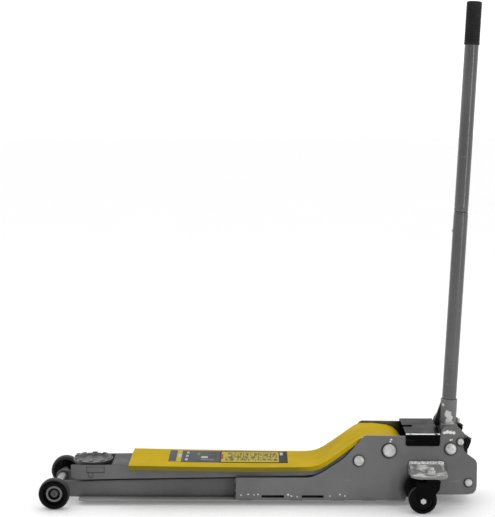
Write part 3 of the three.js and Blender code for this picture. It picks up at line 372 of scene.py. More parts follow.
def floor_material():
    surface = Surface("floor_material", Emission_Color=(1, 1, 1, 1), Emission_Strength=0.13)
    surface.colour(surface.mix(surface.noise(1.5, 3), (0.89, 0.89, 0.89), (0.93, 0.93, 0.93)))
    surface.roughness(surface.span(surface.noise(4, 3), 0.3, 0.7, 0.85, 0.95))
    return surface.material


DECAL_X = (-0.233, 0.073)
DECAL_Y = (-0.0435, 0.075)
DECAL_COLUMNS = 72
DECAL_ROWS = 20
DECAL_LIFT = 0.25 * MM
SLATE = (0.05, 0.052, 0.062)
PALE = (0.42, 0.42, 0.4)
LABEL_BLACK = (0.012, 0.012, 0.014)
LABEL_YELLOW = (0.42, 0.34, 0.03)
# Printed marks: start, end, near side and far side, as shares of the label, and their colour.
DECAL_MARKS = (
    (0.063, 0.105, 0, 1, LABEL_YELLOW), (0.075, 0.1, 0.42, 0.7, PALE), (0, 0.1, 0, 0.05, LABEL_YELLOW),
    (0.143, 0.165, 0.74, 0.88, PALE), (0.14, 0.162, 0.45, 0.6, PALE), (0.137, 0.159, 0.14, 0.3, PALE),
    (0.236, 0.257, 0.6, 0.86, (0.16, 0.17, 0.03)), (0.27, 0.325, 0.36, 0.52, PALE),
    (0.27, 0.38, 0.2, 0.25, (0.2, 0.2, 0.2)), (0.44, 0.93, 0, 1, LABEL_YELLOW),
    (0.44, 0.93, 0.93, 1, LABEL_BLACK), (0.44, 0.93, 0, 0.06, LABEL_BLACK),
    (0.428, 0.44, 0, 1, LABEL_BLACK), (0.436, 0.456, 0.28, 0.72, (0.3, 0.03, 0.012)),
    (0.926, 1, 0, 1, LABEL_BLACK), (0.936, 0.962, 0.66, 0.9, PALE))


def decal_material():
    """A plain printed label: a slate field with pale bars beside a yellow field of fine strokes."""
    surface = Surface("decal_print", Specular_IOR_Level=0.03)
    axes = surface.node("ShaderNodeSeparateXYZ")
    surface.link(surface.place, axes.inputs["Vector"])
    along = surface.span(axes.outputs["X"], *DECAL_X)
    across = surface.span(axes.outputs["Y"], *DECAL_Y)

    def inside(value, low, high):
        return surface.math("MULTIPLY", surface.math("GREATER_THAN", value, low),
                            surface.math("LESS_THAN", value, high))

    def patch(x0, x1, y0, y1):
        return surface.math("MULTIPLY", inside(along, x0, x1), inside(across, y0 - 0.001, y1 + 0.001))

    base = surface.mix(surface.noise(60, 5), SLATE, tuple(channel * 1.5 for channel in SLATE))
    for *sides, colour in DECAL_MARKS:
        base = surface.mix(patch(*sides), base, colour)
    strokes = surface.noise(230, 3, 0.6, (1, 0.16, 1))
    printed = surface.span(strokes, 0.47, 0.55)
    block = surface.math("MAXIMUM", patch(0.475, 0.915, 0.16, 0.86), patch(0.346, 0.4, 0.4, 0.9))
    base = surface.mix(surface.math("MULTIPLY", surface.math("MULTIPLY", printed, block), 0.85),
                       base, (0.05, 0.045, 0.015))
    worn = surface.span(surface.noise(120, 7, 0.7), 0.66, 0.74)
    surface.colour(surface.mix(surface.math("MULTIPLY", worn, 0.5), base, (0.3, 0.28, 0.2)))
    surface.roughness(surface.span(surface.noise(30), 0.3, 0.7, 0.36, 0.5))
    return surface.material


GREY = (0.155, 0.156, 0.158)
# A touch darker than GREY, as painted shade on the rails' recessed webs; the other plain grey parts share it.
RAIL_GREY = (0.145, 0.146, 0.148)
# A lighter grey painted on the rails' outer flanges as painted light.
FLANGE_PAINTED_LIGHT = (0.3, 0.3, 0.3)
TUBE_GREY = (0.085, 0.085, 0.085)
BARE = (0.5, 0.49, 0.47)
# Olive painted on the cover's upright lips as shade.
LIP_SHADE_OLIVE = (0.2, 0.165, 0.016)
# White of painted highlights: the cover's folds and the brackets' glare.
SHEEN = (0.92, 0.92, 0.9)

GUSSET_EDGE = 21.2 * MM  # the gusset stands this far in front of the handle's axis
FOLD_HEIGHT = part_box("top_cover")[1].z - 2.2 * MM
FOLD_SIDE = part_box("top_cover")[1].y - 3 * MM
# Painted shade on the arm: its rear, the roof beside the saddle, and a painted shadow line along its lower hem.
ARM_REAR_X = 0.33
ROOF_END_X = -0.25
ROOF_SHADE = 0.76
HEM_NORMAL = (-0.0275, 0, 1)  # square to the arm's lower edge
HEM_HEIGHT = 73.2 * MM
HEM_FADE = 0.6 * MM
# Painted shade in rings round the bolt heads: each bolt and its head radius, the rings offset and fading out.
RING_SHIFT = 1 * MM
RING_WIDTH = 5 * MM
BOLT_RINGS = (
    ("arm_pivot_shaft", 17 * MM), ("left_handle_pivot_bolt", 14 * MM), ("left_frame_bolt", 12.5 * MM),
    ("left_bumper_bolt", 8 * MM), ("rear_tie_rod", 9 * MM))
# A painted shadow behind each caster, and painted shade on the plates' insides beside the pump.
CASTER_SHADE = (0.401, 0.05, 33 * MM, 52 * MM)  # x, z, black within, gone beyond
PLATE_INSIDE_Y = 80.5 * MM
PLATE_INSIDE_X = (0.34, 0.372)
LIP_FADE = (0.19, 0.09)  # the X where a lip turns yellow, and where it is all olive
FLANGE_Y = 62 * MM


def gusset_shade(surface):
    """1 on the socket's front gusset, which is painted black as shade, 0 on the rest of the socket."""
    forward = (math.cos(LEAN), 0, -math.sin(LEAN))
    edge = Vector(PIVOT).dot(Vector(forward)) - GUSSET_EDGE
    return surface.math("LESS_THAN", surface.along(forward), edge)


def arm_shade(surface):
    """How dark the arm is painted as shade: its hidden rear, a painted shadow line along its lower hem and the
    roof beside the saddle.
    """
    length = surface.along((1, 0, 0))
    rear = surface.math("GREATER_THAN", length, ARM_REAR_X)
    hem = surface.span(surface.along(HEM_NORMAL), HEM_HEIGHT, HEM_HEIGHT - HEM_FADE)
    front = surface.math("LESS_THAN", length, ROOF_END_X)
    roof = surface.math("MULTIPLY", surface.span(surface.facing("Z"), 0.5, 0.9, 0, ROOF_SHADE), front)
    return surface.math("MAXIMUM", surface.math("MAXIMUM", rear, hem), roof)


def ring_of(surface, x, z, inner, outer):
    """1 within the inner distance of a cross axis, falling to 0 at the outer distance."""
    flat = surface.scaled((1, 0, 1))
    distance = surface.node("ShaderNodeVectorMath", operation="DISTANCE")
    surface.link(flat, distance.inputs[0])
    distance.inputs[1].default_value = (x, 0, z)
    return surface.span(distance.outputs["Value"], outer, inner)


def plate_shade(surface):
    """Painted shade round the bolt heads, a painted shadow behind each caster, and painted shade on the dark
    inside beside the pump.
    """
    inside = surface.math("MULTIPLY", surface.math("LESS_THAN", surface.sideways(), PLATE_INSIDE_Y),
                          surface.span(surface.along((1, 0, 0)), *PLATE_INSIDE_X))
    shade = surface.math("MAXIMUM", inside, ring_of(surface, *CASTER_SHADE))
    for node, radius in BOLT_RINGS:
        centre = box_centre(node)
        ring = ring_of(surface, centre.x - RING_SHIFT, centre.z - RING_SHIFT, radius, radius + RING_WIDTH)
        shade = surface.math("MAXIMUM", shade, ring)
    return shade


def bracket_glare(surface):
    """Ragged painted highlights on the upward faces of the caster brackets."""
    return surface.math("MULTIPLY", surface.span(surface.noise(34, 5, 0.6), 0.47, 0.66, 0, 0.75),
                        surface.span(surface.facing("Z"), 0.2, 0.6))


def lit_flange(surface):
    """1 on the outer flanges along the foot of the rails, which get a lighter grey as painted light."""
    return surface.math("GREATER_THAN", surface.sideways(), FLANGE_Y)


def shaded_cover_sides(surface):
    """1 on the upright lips of the arm's cover, which are painted olive as shade, fading out on the slope, and 0
    on its top.
    """
    upright = surface.span(surface.absolute(surface.facing("Y")), 0.5, 0.8)
    return surface.math("MULTIPLY", upright, surface.span(surface.along((1, 0, 0)), *LIP_FADE))


def fold_highlight(surface):
    """1 along the folds of the top cover, where a highlight is painted."""
    high = surface.math("GREATER_THAN", surface.along((0, 0, 1)), FOLD_HEIGHT)
    outer = surface.math("GREATER_THAN", surface.sideways(), FOLD_SIDE)
    broken = surface.span(surface.noise(160, 4, 0.6, (0.3, 1, 1)), 0.34, 0.42)
    return surface.math("MULTIPLY", surface.math("MULTIPLY", high, outer), broken)


def millimetre_spots(rows):
    return tuple(((x * MM, y * MM, z * MM), radius * MM) for x, y, z, radius in rows)


# Chips along the sill and scratches above the bolts; the last row is a painted highlight along the plates' upper
# edge by the handle socket.
PLATE_CHIPS_AND_HIGHLIGHT = millimetre_spots((
    (332, -86, 172, 2.6), (330, -86, 167, 2), (481, -86, 171, 2), (485, -86, 172, 1.8),
    (-46, -86, 28, 1.8), (-28, -86, 29.6, 2), (-13, -86, 28.3, 1.6), (-3, -86, 29.7, 1.8),
    (73, -86, 29, 2.4), (81, -86, 26, 1.8), (96, -86, 23.4, 1.6), (179, -86, 26.2, 1.6),
    (204, -86, 30.2, 2), (217, -86, 26.3, 1.8),
    (466, -86, 190, 4), (473, -86, 192, 4.5), (481, -86, 191, 4.5), (489, -86, 190, 4)))
# Worn patches on the handle socket that also stand in for its highlights, as painted highlights.
SOCKET_WEAR_AND_HIGHLIGHTS = millimetre_spots((
    (482, -20, 223, 8.5), (487, -20, 214, 8), (483, -21, 203, 7.5), (492, -19, 198, 7),
    (479, -22, 190, 6), (487, -22, 187, 7), (496, -20, 187, 6), (470, -14, 246, 3.5)))
COVER_CHIPS = millimetre_spots(((245, -79.5, 157, 3.2), (261, -79.5, 175, 2.6)))

GREY_PAINT = painted("grey_paint", RAIL_GREY, BARE, 0.42, 0.4, Specular_IOR_Level=0.15)
# The rails' paint, with painted light on their outer flanges.
RAIL_PAINT_LIT_FLANGE = painted("rail_paint_lit_flange", RAIL_GREY, BARE, 0.42, 0.4, (), (lit_flange, FLANGE_PAINTED_LIGHT),
                     Specular_IOR_Level=0.15)
# The side plates' paint, with painted shade, a painted shadow and some painted highlights.
PLATE_PAINT_SHADE_AND_HIGHLIGHT = painted("plate_paint_shade_and_highlight", GREY, BARE, 0.42, 0.42, PLATE_CHIPS_AND_HIGHLIGHT, (plate_shade, PAINT_AND_SHADE_BLACK),
                      Specular_IOR_Level=0.15)
# The brackets' paint, a lighter grey than the plates, with painted highlights on their tops.
BRACKET_PAINT_AND_GLARE = painted("bracket_paint_and_glare", (0.2, 0.2, 0.2), BARE, 0.36, 0.62, (), (bracket_glare, SHEEN),
                        Specular_IOR_Level=0.3)
# The arm's paint, with painted shade.
ARM_PAINT_AND_SHADE = painted("arm_paint_and_shade", GREY, BARE, 0.42, 0.4, (), (arm_shade, PAINT_AND_SHADE_BLACK),
                    Specular_IOR_Level=0.12)
# The socket's paint, with painted highlights and its gusset painted black as shade.
SOCKET_PAINT_SHADE_AND_HIGHLIGHT = painted("socket_paint_shade_and_highlight", GREY, BARE, 0.36, 0.5, SOCKET_WEAR_AND_HIGHLIGHTS,
                       (gusset_shade, PAINT_AND_SHADE_BLACK), Specular_IOR_Level=0.3)
TUBE_PAINT = painted("tube_paint", TUBE_GREY, BARE, 0.2, 0.3, Specular_IOR_Level=0.5)
# The cover's paint, with chips and its lips painted olive as shade.
YELLOW_PAINT_AND_SHADE = painted("yellow_paint", (0.5, 0.345, 0.001), (0.3, 0.22, 0.06), 0.45, 0.4, COVER_CHIPS,
                       (shaded_cover_sides, LIP_SHADE_OLIVE), Specular_IOR_Level=0.01)
BLACK_PAINT = painted("black_paint", PAINT_AND_SHADE_BLACK, (0.06, 0.06, 0.06), 0.3, 0.25, Specular_IOR_Level=0.04)
# The top cover's black paint, with a painted highlight along its folds.
COVER_BLACK_AND_HIGHLIGHT = painted("cover_black_and_highlight", PAINT_AND_SHADE_BLACK, (0.1, 0.1, 0.1), 0.3, 0.25, (),
                      (fold_highlight, SHEEN), Specular_IOR_Level=0.03)
ZINC = plated("zinc", (0.7, 0.7, 0.68), 0.4, 0.0, 0.45)
STEEL = plated("steel", (0.4, 0.395, 0.39), 0.36, 0.08, 0.8)
DARK_STEEL = plated("dark_steel", (0.12, 0.12, 0.12), 0.45, 0.12, 0.6)
CAST_IRON = cast("cast_iron", (0.05, 0.05, 0.05), 0.55)
WORN_CAST = cast("worn_cast", (0.09, 0.09, 0.09), 0.45)
TYRE = moulded("tyre", (0.001, 0.001, 0.001), 0.3, 380, 0.01)
TREAD = moulded("tread", (0.035, 0.035, 0.035), 0.5, 300, 0.4)
HUB = moulded("hub", (0.17, 0.17, 0.172), 0.42, 500, 0.25)
RUBBER = moulded("rubber", (0.003, 0.003, 0.003), 0.5, 700, 0.03)
GRIP_RUBBER = moulded("grip_rubber", (0.017, 0.017, 0.017), 0.5, 700, 0.08)
WELD = weld_metal()


# ---- mesh helpers ----

def new_piece(name, work, materials):
    """Turns a bmesh into a smooth object in the scene."""
    bmesh.ops.recalc_face_normals(work, faces=work.faces)
    mesh = bpy.data.meshes.new(name)
    work.to_mesh(mesh)
    work.free()
    mesh.shade_smooth()
    for material in materials:
        mesh.materials.append(material)
    piece = bpy.data.objects.new(name, mesh)
    bpy.context.scene.collection.objects.link(piece)
    return piece


def finish_piece(name, work, materials, body, nodes=()):
    """Makes a shaded piece that rides on its body and stands for its CAD nodes."""
    piece = new_piece(name, work, materials)
    piece.data.set_sharp_from_angle(angle=SHARP_ANGLE)
    weighted = piece.modifiers.new("even_normals", "WEIGHTED_NORMAL")
    weighted.keep_sharp = True
    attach(piece, body)
    if nodes:
        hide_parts(*nodes)
    return piece


def merged(node):
    """A CAD node's mesh with its split corners joined and its flat areas made whole."""
    work = bmesh.new()
    work.from_mesh(frame["nodes"][node].data)
    for layer in list(work.loops.layers.uv.values()):
        work.loops.layers.uv.remove(layer)
    bmesh.ops.remove_doubles(work, verts=work.verts, dist=MERGE_DISTANCE)
    bmesh.ops.dissolve_limit(work, angle_limit=FLAT_ANGLE, verts=work.verts, edges=work.edges)
    for face in work.faces:
        face.material_index = 0
        face.smooth = True
    return work


def round_edges(work, radius, segments=2):
    sharp = [edge for edge in work.edges
             if len(edge.link_faces) == 2 and edge.calc_face_angle() > SHARP_ANGLE]
    bmesh.ops.bevel(work, geom=sharp, offset=radius, segments=segments, profile=0.6,
                    affect="EDGES", clamp_overlap=False, loop_slide=True)


def rounded(node, material, radius, segments=2):
    """A piece with the CAD node's own shape, its edges broken by a small radius."""
    work = merged(node)
    round_edges(work, radius, segments)
    return finish_piece(f"{node}_body", work, [material], BODY_OF[node], [node])


def along_y(x, y, z):
    return Matrix.Translation((x, y, z)) @ Matrix.Rotation(-math.pi / 2, 4, "X")


def along_x(x, y, z):
    return Matrix.Translation((x, y, z)) @ Matrix.Rotation(math.pi / 2, 4, "Y")


def lathe_into(work, profile, sides, band=None):
    """Adds a profile of (radius, height) pairs turned about Z, with a material index per ring."""
    rings = []
    for radius, height in profile:
        count = 1 if radius < 1e-7 else sides
        rings.append([work.verts.new((radius * math.cos(i / sides * TURN),
                                      radius * math.sin(i / sides * TURN), height))
                      for i in range(count)])
    for low, high, start, end in zip(rings, rings[1:], profile, profile[1:]):
        if len(low) == len(high) == 1:
            continue
        index = band((start[0] + end[0]) / 2, (start[1] + end[1]) / 2) if band else 0
        for i in range(sides):
            j = (i + 1) % sides
            corners = [low[i % len(low)], low[j % len(low)], high[j % len(high)], high[i % len(high)]]
            face = work.faces.new(list(dict.fromkeys(corners)))
            face.material_index = index
            face.smooth = True
    bmesh.ops.remove_doubles(work, verts=work.verts, dist=MERGE_DISTANCE)


def turned(name, profile, place, materials, body, nodes=(), edge=0.0004, sides=FINE_SIDES, band=None):
    """A turned piece whose axis is the local Z of place; edge is the radius of its corners."""
    work = bmesh.new()
    lathe_into(work, profile, sides, band)
    if edge:
        round_edges(work, edge)
    bmesh.ops.transform(work, matrix=place, verts=work.verts)
    return finish_piece(name, work, materials, body, nodes)


def tube_along(work, points, radii, sides=8):
    """A closed-ended tube through points, with one radius per point."""
    rings = []
    for i, point in enumerate(points):
        ahead = points[min(i + 1, len(points) - 1)] - points[max(i - 1, 0)]
        turn = ahead.to_track_quat("Z", "Y").to_matrix()
        rings.append([work.verts.new(point + turn @ Vector((radii[i] * math.cos(k / sides * TURN),
                                                            radii[i] * math.sin(k / sides * TURN), 0)))
                      for k in range(sides)])
    for low, high in zip(rings, rings[1:]):
        for k in range(sides):
            j = (k + 1) % sides
            work.faces.new((low[k], low[j], high[j], high[k]))
    work.faces.new(list(reversed(rings[0])))
    work.faces.new(rings[-1])


def weld_bead(name, start, end, radius, body, material, seed):
    """A lumpy welded seam from start to end."""
    chance = random.Random(seed)
    start, end = Vector(start), Vector(end)
    count = max(6, int((end - start).length / (1.6 * MM)))
    points, radii = [], []
    for i in range(count + 1):
        t = i / count
        wander = Vector((chance.uniform(-1, 1), chance.uniform(-1, 1), chance.uniform(-1, 1)))
        points.append(start.lerp(end, t) + wander * radius * 0.12)
        taper = 0.55 if i in (0, count) else 1
        radii.append(radius * taper * (1 + 0.12 * math.sin(i * 2.1) + chance.uniform(-0.1, 0.1)))
    work = bmesh.new()
    tube_along(work, points, radii, 10)
    return finish_piece(name, work, [material], body)


def helix(start, axis, length, radius, turns, steps=28):
    """Points of a coil that begins at start and winds along axis."""
    turn = Vector(axis).to_track_quat("Z", "Y").to_matrix()
    count = int(turns * steps)
    return [Vector(start) + turn @ Vector((radius * math.cos(i / steps * TURN),
                                           radius * math.sin(i / steps * TURN),
                                           length * i / count))
            for i in range(count + 1)]


# ---- pieces that keep the CAD's shape ----

def finish_plates_and_castings():
    finishes = [
        (PLATE_PAINT_SHADE_AND_HIGHLIGHT, 0.9, both("side_plate")),
        (BRACKET_PAINT_AND_GLARE, 0.9, both("caster_bracket")),
        (RAIL_PAINT_LIT_FLANGE, 0.9, both("front_rail")),
        (GREY_PAINT, 0.9, ["front_cross_member", "rear_cross_pan", "saddle_carrier",
                           *both("saddle_pin")]),
        (ARM_PAINT_AND_SHADE, 0.6, ["lift_arm"]),
        (SOCKET_PAINT_SHADE_AND_HIGHLIGHT, 1.0, ["handle_socket"]),
        (YELLOW_PAINT_AND_SHADE, 1.0, ["arm_cover"]),
        (COVER_BLACK_AND_HIGHLIGHT, 0.9, ["top_cover"]),
        (BLACK_PAINT, 1.2, both("caster_fork")),
        (CAST_IRON, 1.2, ["hydraulic_block", "crosshead"]),
        (STEEL, 0.6, [*both("leveling_link"), "release_valve_stem", "release_drive_fork",
                      "pump_roller", "roller_pin", "lever_pin"]),
        (ZINC, 0.6, [*both("king_nut"), *both("caster_axle"), "clamp_bolt", "spring_button"]),
        (RUBBER, 1.6, both("rubber_bumper")),
    ]
    for material, radius, nodes in finishes:
        for node in nodes:
            rounded(node, material, radius * MM)


# ---- wheels and axles ----

HUB_RECESS = 11  # millimetres from the tyre's face to the ring of the hub


def front_wheel(node):
    """A tyre with a grey ring set deep in its hub, and a paler tread with dust in patches."""
    low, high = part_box(node)
    centre = (low + high) / 2
    r = (high.z - low.z) / 2 / MM
    face = (high.y - low.y) / 2 / MM
    hub = face - HUB_RECESS
    profile = [
        (12.4, -face), (r - 7, -face), (r - 2, -face + 2), (r, -face + 7), (r, face - 8),
        (r - 0.8, face - 4.6), (r - 3, face - 2), (r - 6.5, face), (28, face), (26.6, face - 1.5),
        (24.2, hub), (21.4, hub), (20.6, hub + 1.5), (14.8, hub + 1.5), (14, hub - 3), (12.4, hub - 3),
        (12.4, -face)]

    def band(radius, height):
        if radius > (r - 2.5) * MM or (radius > (r - 8) * MM and height < 0):
            return 2
        return int(14.5 * MM < radius < 21 * MM and height > 0)

    place = along_y(centre.x, centre.y, centre.z)
    if outward_sign(node) < 0:
        place = place @ Matrix.Rotation(math.pi, 4, "X")
    turned(f"{node}_tyre", in_metres(profile), place, [TYRE, HUB, TREAD], BODY_OF[node], [node],
           0.5 * MM, band=band)


def caster_wheel(node):
    """A plain wheel with a dished face on both sides."""
    low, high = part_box(node)
    centre = (low + high) / 2
    r = (high.z - low.z) / 2 / MM
    half = (high.y - low.y) / 2 / MM
    side = [(5.4, half - 1), (14, half - 1), (15, half - 4), (25, half - 4), (26.4, half),
            (r - 3.4, half), (r - 1.2, half - 1.4), (r, half - 4)]
    profile = [*side, *[(radius, -height) for radius, height in reversed(side)], side[0]]
    place = along_y(centre.x, centre.y, centre.z)
    turned(f"{node}_tyre", in_metres(profile), place, [TYRE, TREAD], BODY_OF[node], [node],
           0.4 * MM, band=lambda radius, height: int(radius > (r - 0.5) * MM))


def front_axle():
    """A bright bar with dark, centre-drilled ends."""
    low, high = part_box("front_axle")
    centre = (low + high) / 2
    radius = (high.z - low.z) / 2
    half = (high.y - low.y) / 2
    end = [(0, half - 1.2 * MM), (2.4 * MM, half - 1.2 * MM), (3 * MM, half), (radius - 2.9 * MM, half),
           (radius - 1.2 * MM, half - 1.8 * MM), (radius, half - 4 * MM)]
    profile = [*end, *[(r, -h) for r, h in reversed(end)]]
    turned("front_axle_bar", profile, along_y(*centre), [STEEL, DARK_STEEL], "frame", ["front_axle"], 0,
           band=lambda r, h: int(abs(h) > half - 5 * MM))


# ---- bolts, shafts and pins ----

def domed_head(radius, depth):
    """Profile of a domed head, from its rim at height 0 to its crown."""
    steps = 6
    dome = [(radius * math.cos(i / steps * math.pi / 2) ** 0.6,
             depth * (0.35 + 0.65 * math.sin(i / steps * math.pi / 2))) for i in range(steps)]
    return [(radius, 0), *dome, (0, depth)]


def stepped_head(radius, depth):
    """Profile of a flat turned head with a chamfer and a shallow centre mark."""
    return [(radius, 0), (radius, depth * 0.5), (radius * 0.86, depth * 0.92), (radius * 0.82, depth),
            (radius * 0.24, depth), (radius * 0.16, depth - 0.7 * MM), (0, depth - 0.7 * MM)]


def side_bolt(node, joint_radius, head):
    """A bolt through one side plate: its head outside, its shank inside."""
    low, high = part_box(node)
    sign = outward_sign(node)
    inner = min(abs(low.y), abs(high.y)) - PLATE_FACE
    centre = (low + high) / 2
    profile = [(0, inner), (joint_radius, inner), (joint_radius, 0), *head]
    place = along_y(centre.x, sign * PLATE_FACE, centre.z)
    if sign < 0:
        place = place @ Matrix.Rotation(math.pi, 4, "X")
    turned(f"{node}_turned", profile, place, [ZINC], BODY_OF[node], [node], 0.35 * MM)


def through_shaft(node, shaft_radius, head):
    """A shaft right across the chassis, with a head at each end."""
    centre = box_centre(node)
    end = [(r, PLATE_FACE + h) for r, h in head]
    shank = [(shaft_radius, -PLATE_FACE), (shaft_radius, PLATE_FACE)]
    profile = [*[(r, -h) for r, h in reversed(end)], *shank, *end]
    turned(f"{node}_turned", profile, along_y(centre.x, 0, centre.z), [ZINC], "frame", [node], 0.35 * MM)


def add_fasteners():
    for side in ("left", "right"):
        side_bolt(f"{side}_handle_pivot_bolt", 9 * MM, domed_head(14 * MM, 8.9 * MM))
        side_bolt(f"{side}_frame_bolt", 5 * MM, domed_head(13 * MM, 8.9 * MM))
        side_bolt(f"{side}_bumper_bolt", 5 * MM, stepped_head(8.6 * MM, 5.9 * MM))
    through_shaft("arm_pivot_shaft", 13 * MM, stepped_head(16.5 * MM, 7 * MM))
    through_shaft("rear_tie_rod", 5 * MM, domed_head(9.6 * MM, 6 * MM))


# ---- saddle ----

SADDLE_TEETH = 10
TOOTH_HEIGHT = 3.2
TOOTH_REACH = 0.17  # radians to each side of a tooth's middle
STUD_FOOT = 64
CAD_TOOTH_HEIGHT = 5


def saddle_pad():
    """Cast dish with a ring of blunt teeth, turning on its stud."""
    low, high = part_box("saddle_pad")
    x = (low.x + high.x) / 2
    rim = (high.z - low.z) / MM + STUD_FOOT - CAD_TOOTH_HEIGHT
    profile = [
        (0, STUD_FOOT), (9, STUD_FOOT), (10, STUD_FOOT + 1.2), (10, 91.9), (38, 91.9), (44, 92.8),
        (48.4, 94.8), (50, 96.6), (50.4, 98), (50.4, rim - 1), (49.6, rim), (44, rim),
        (42.6, rim - 1), (40, 98.6), (37.5, 98), (20, 98), (19, 97.2), (8, 97.2), (7, 98), (0, 98)]
    work = bmesh.new()
    lathe_into(work, in_metres(profile), 96)
    for i in range(SADDLE_TEETH):
        saddle_tooth(work, (i + 0.5) / SADDLE_TEETH * TURN, rim)
    bmesh.ops.transform(work, matrix=Matrix.Translation((x, 0, 0)), verts=work.verts)
    finish_piece("saddle_pad_casting", work, [WORN_CAST], "saddle", ["saddle_pad"])


def saddle_tooth(work, angle, rim):
    """A broad worn lump standing on the rim, its sides leaning in."""
    foot, top = rim - 1, rim + TOOTH_HEIGHT
    outline = ((50, foot, 1), (43.4, foot, 1), (44.6, top, 0.7), (48.4, top, 0.7))
    rings = [[work.verts.new(rim_point(radius, angle + step * TOOTH_REACH * spread, height))
              for radius, height, spread in outline]
             for step in (-1, -0.5, 0, 0.5, 1)]
    for ring, after in zip(rings, rings[1:]):
        for i in range(4):
            work.faces.new((ring[i], ring[(i + 1) % 4], after[(i + 1) % 4], after[i]))
    work.faces.new(rings[0])
    work.faces.new(rings[-1])


def rim_point(radius, angle, height):
    return (radius * MM * math.cos(angle), radius * MM * math.sin(angle), height * MM)


# ---- hydraulic unit and springs ----

def hydraulic_details():
    low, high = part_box("ram_cylinder")
    z = (low.z + high.z) / 2
    length = (high.x - low.x) / MM
    profile = [(14.6, 0), (24, 0), (29, 2), (29, 4), (32, 4.6), (32, 15.4), (29, 16), (29, length),
               (14.6, length), (14.6, 0)]
    turned("ram_cylinder_turned", in_metres(profile), along_x(low.x, 0, z), [CAST_IRON], "frame",
           ["ram_cylinder"], 0.5 * MM)
    low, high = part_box("ram_rod")
    rod = (high.z - low.z) / 2
    profile = [(0, 0), (rod, 0), (rod, high.x - low.x), (0, high.x - low.x)]
    turned("ram_rod_turned", profile, along_x(low.x, 0, z), [STEEL], "ram", ["ram_rod"], 0.8 * MM)


def pump_details():
    low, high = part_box("pump_plunger")
    centre = (low + high) / 2
    top = (high.z - low.z) / MM
    profile = [(0, 0), (7, 0), (8, 1.5), (8, top - 6), (11.5, top - 6), (11.5, top - 1.2), (9, top),
               (0, top)]
    place = Matrix.Translation((centre.x, centre.y, low.z))
    turned("pump_plunger_turned", in_metres(profile), place, [STEEL], "plunger", ["pump_plunger"],
           0.4 * MM)
    rounded("pump_barrel", STEEL, 0.5 * MM)


def coil_spring(name, points, wire, node):
    """A wire coil through the points, from the first end to the second, in place of its CAD node."""
    work = bmesh.new()
    tube_along(work, points, [wire] * len(points), 10)
    piece = new_piece(name, work, [STEEL])
    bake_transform(piece)
    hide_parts(node)


def springs():
    for node in both("return_spring"):
        low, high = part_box(node)
        centre = (low + high) / 2
        radius = (high.z - low.z) / 2 - 1.0 * MM
        points = helix((low.x, centre.y, centre.z), (1, 0, 0), high.x - low.x, radius, 40, 14)
        coil_spring(f"{node}_coil", points, 0.9 * MM, node)
    low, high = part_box("pump_spring")
    centre = (low + high) / 2
    radius = (high.x - low.x) / 2 - 1.0 * MM
    points = helix((centre.x, centre.y, low.z + MM), (0, 0, 1), high.z - low.z - 2 * MM, radius, 6)
    coil_spring("pump_spring_coil", points, 0.95 * MM, "pump_spring")


# ---- handle ----

def handle_place():
    """Matrix whose origin is the handle's pivot and whose Z runs up the tube."""
    return Matrix.Translation(PIVOT) @ Matrix.Rotation(LEAN, 4, "Y")


# Millimetres: radii from the handle's axis, and heights up it from the pivot.
LOWER_RADIUS = 18.2
UPPER_RADIUS = 17.7
GRIP_RADIUS = 19.6
TUBE_FLOOR = 50.3
TUBE_JOINT = 591
SPIGOT_FOOT = 495
GRIP_FOOT = 1010
GRIP_TOP = 1117.5
RIB_PITCH = 3.8


def lower_tube():
    r = LOWER_RADIUS
    bore = r - 2.4
    profile = [
        (bore, TUBE_FLOOR), (r, TUBE_FLOOR), (r, TUBE_JOINT - 7), (r - 0.7, TUBE_JOINT - 6.2),
        (r - 0.7, TUBE_JOINT - 4.6), (r, TUBE_JOINT - 3.8), (r, TUBE_JOINT - 1), (r - 0.6, TUBE_JOINT),
        (bore, TUBE_JOINT), (bore, TUBE_FLOOR)]
    tube_piece("handle_lower_tube", profile, TUBE_PAINT)


def upper_tube():
    r = UPPER_RADIUS
    spigot = LOWER_RADIUS - 2.7
    top = GRIP_TOP - 8
    profile = [
        (spigot - 2, SPIGOT_FOOT), (spigot, SPIGOT_FOOT), (spigot, TUBE_JOINT + 0.6),
        (r - 1, TUBE_JOINT + 1.4), (r, TUBE_JOINT + 3), (r, TUBE_JOINT + 10), (r - 0.6, TUBE_JOINT + 10.8),
        (r - 0.6, TUBE_JOINT + 12), (r, TUBE_JOINT + 12.8), (r, top), (r - 2.4, top),
        (r - 2.4, TUBE_JOINT + 8), (spigot - 2, TUBE_JOINT + 2), (spigot - 2, SPIGOT_FOOT)]
    tube_piece("handle_upper_tube", profile, TUBE_PAINT)


def grip():
    """Ribbed rubber sleeve with a plain collar at its foot and a domed cap."""
    r = GRIP_RADIUS
    inner = UPPER_RADIUS + 0.3
    profile = [(inner, GRIP_FOOT), (r - 0.8, GRIP_FOOT), (r - 0.2, GRIP_FOOT + 0.8),
               (r - 0.2, GRIP_FOOT + 7), (r - 1, GRIP_FOOT + 8)]
    height = GRIP_FOOT + 9
    while height < GRIP_TOP - 12:
        profile += [(r - 1, height), (r - 0.1, height + 0.7), (r - 0.1, height + 2.3), (r - 1, height + 3)]
        height += RIB_PITCH
    profile += [(r - 0.4, GRIP_TOP - 8), (r - 0.6, GRIP_TOP - 4), (r - 1.8, GRIP_TOP - 1.6),
                (r - 4, GRIP_TOP - 0.3), (r - 7, GRIP_TOP), (0, GRIP_TOP), (0, GRIP_TOP - 7),
                (inner, GRIP_TOP - 7), (inner, GRIP_FOOT)]
    tube_piece("handle_grip", profile, GRIP_RUBBER)


def tube_piece(node, profile, material):
    turned(f"{node}_turned", in_metres(profile), handle_place(), [material], "handle", [node], 0)


# ---- decal and welds ----

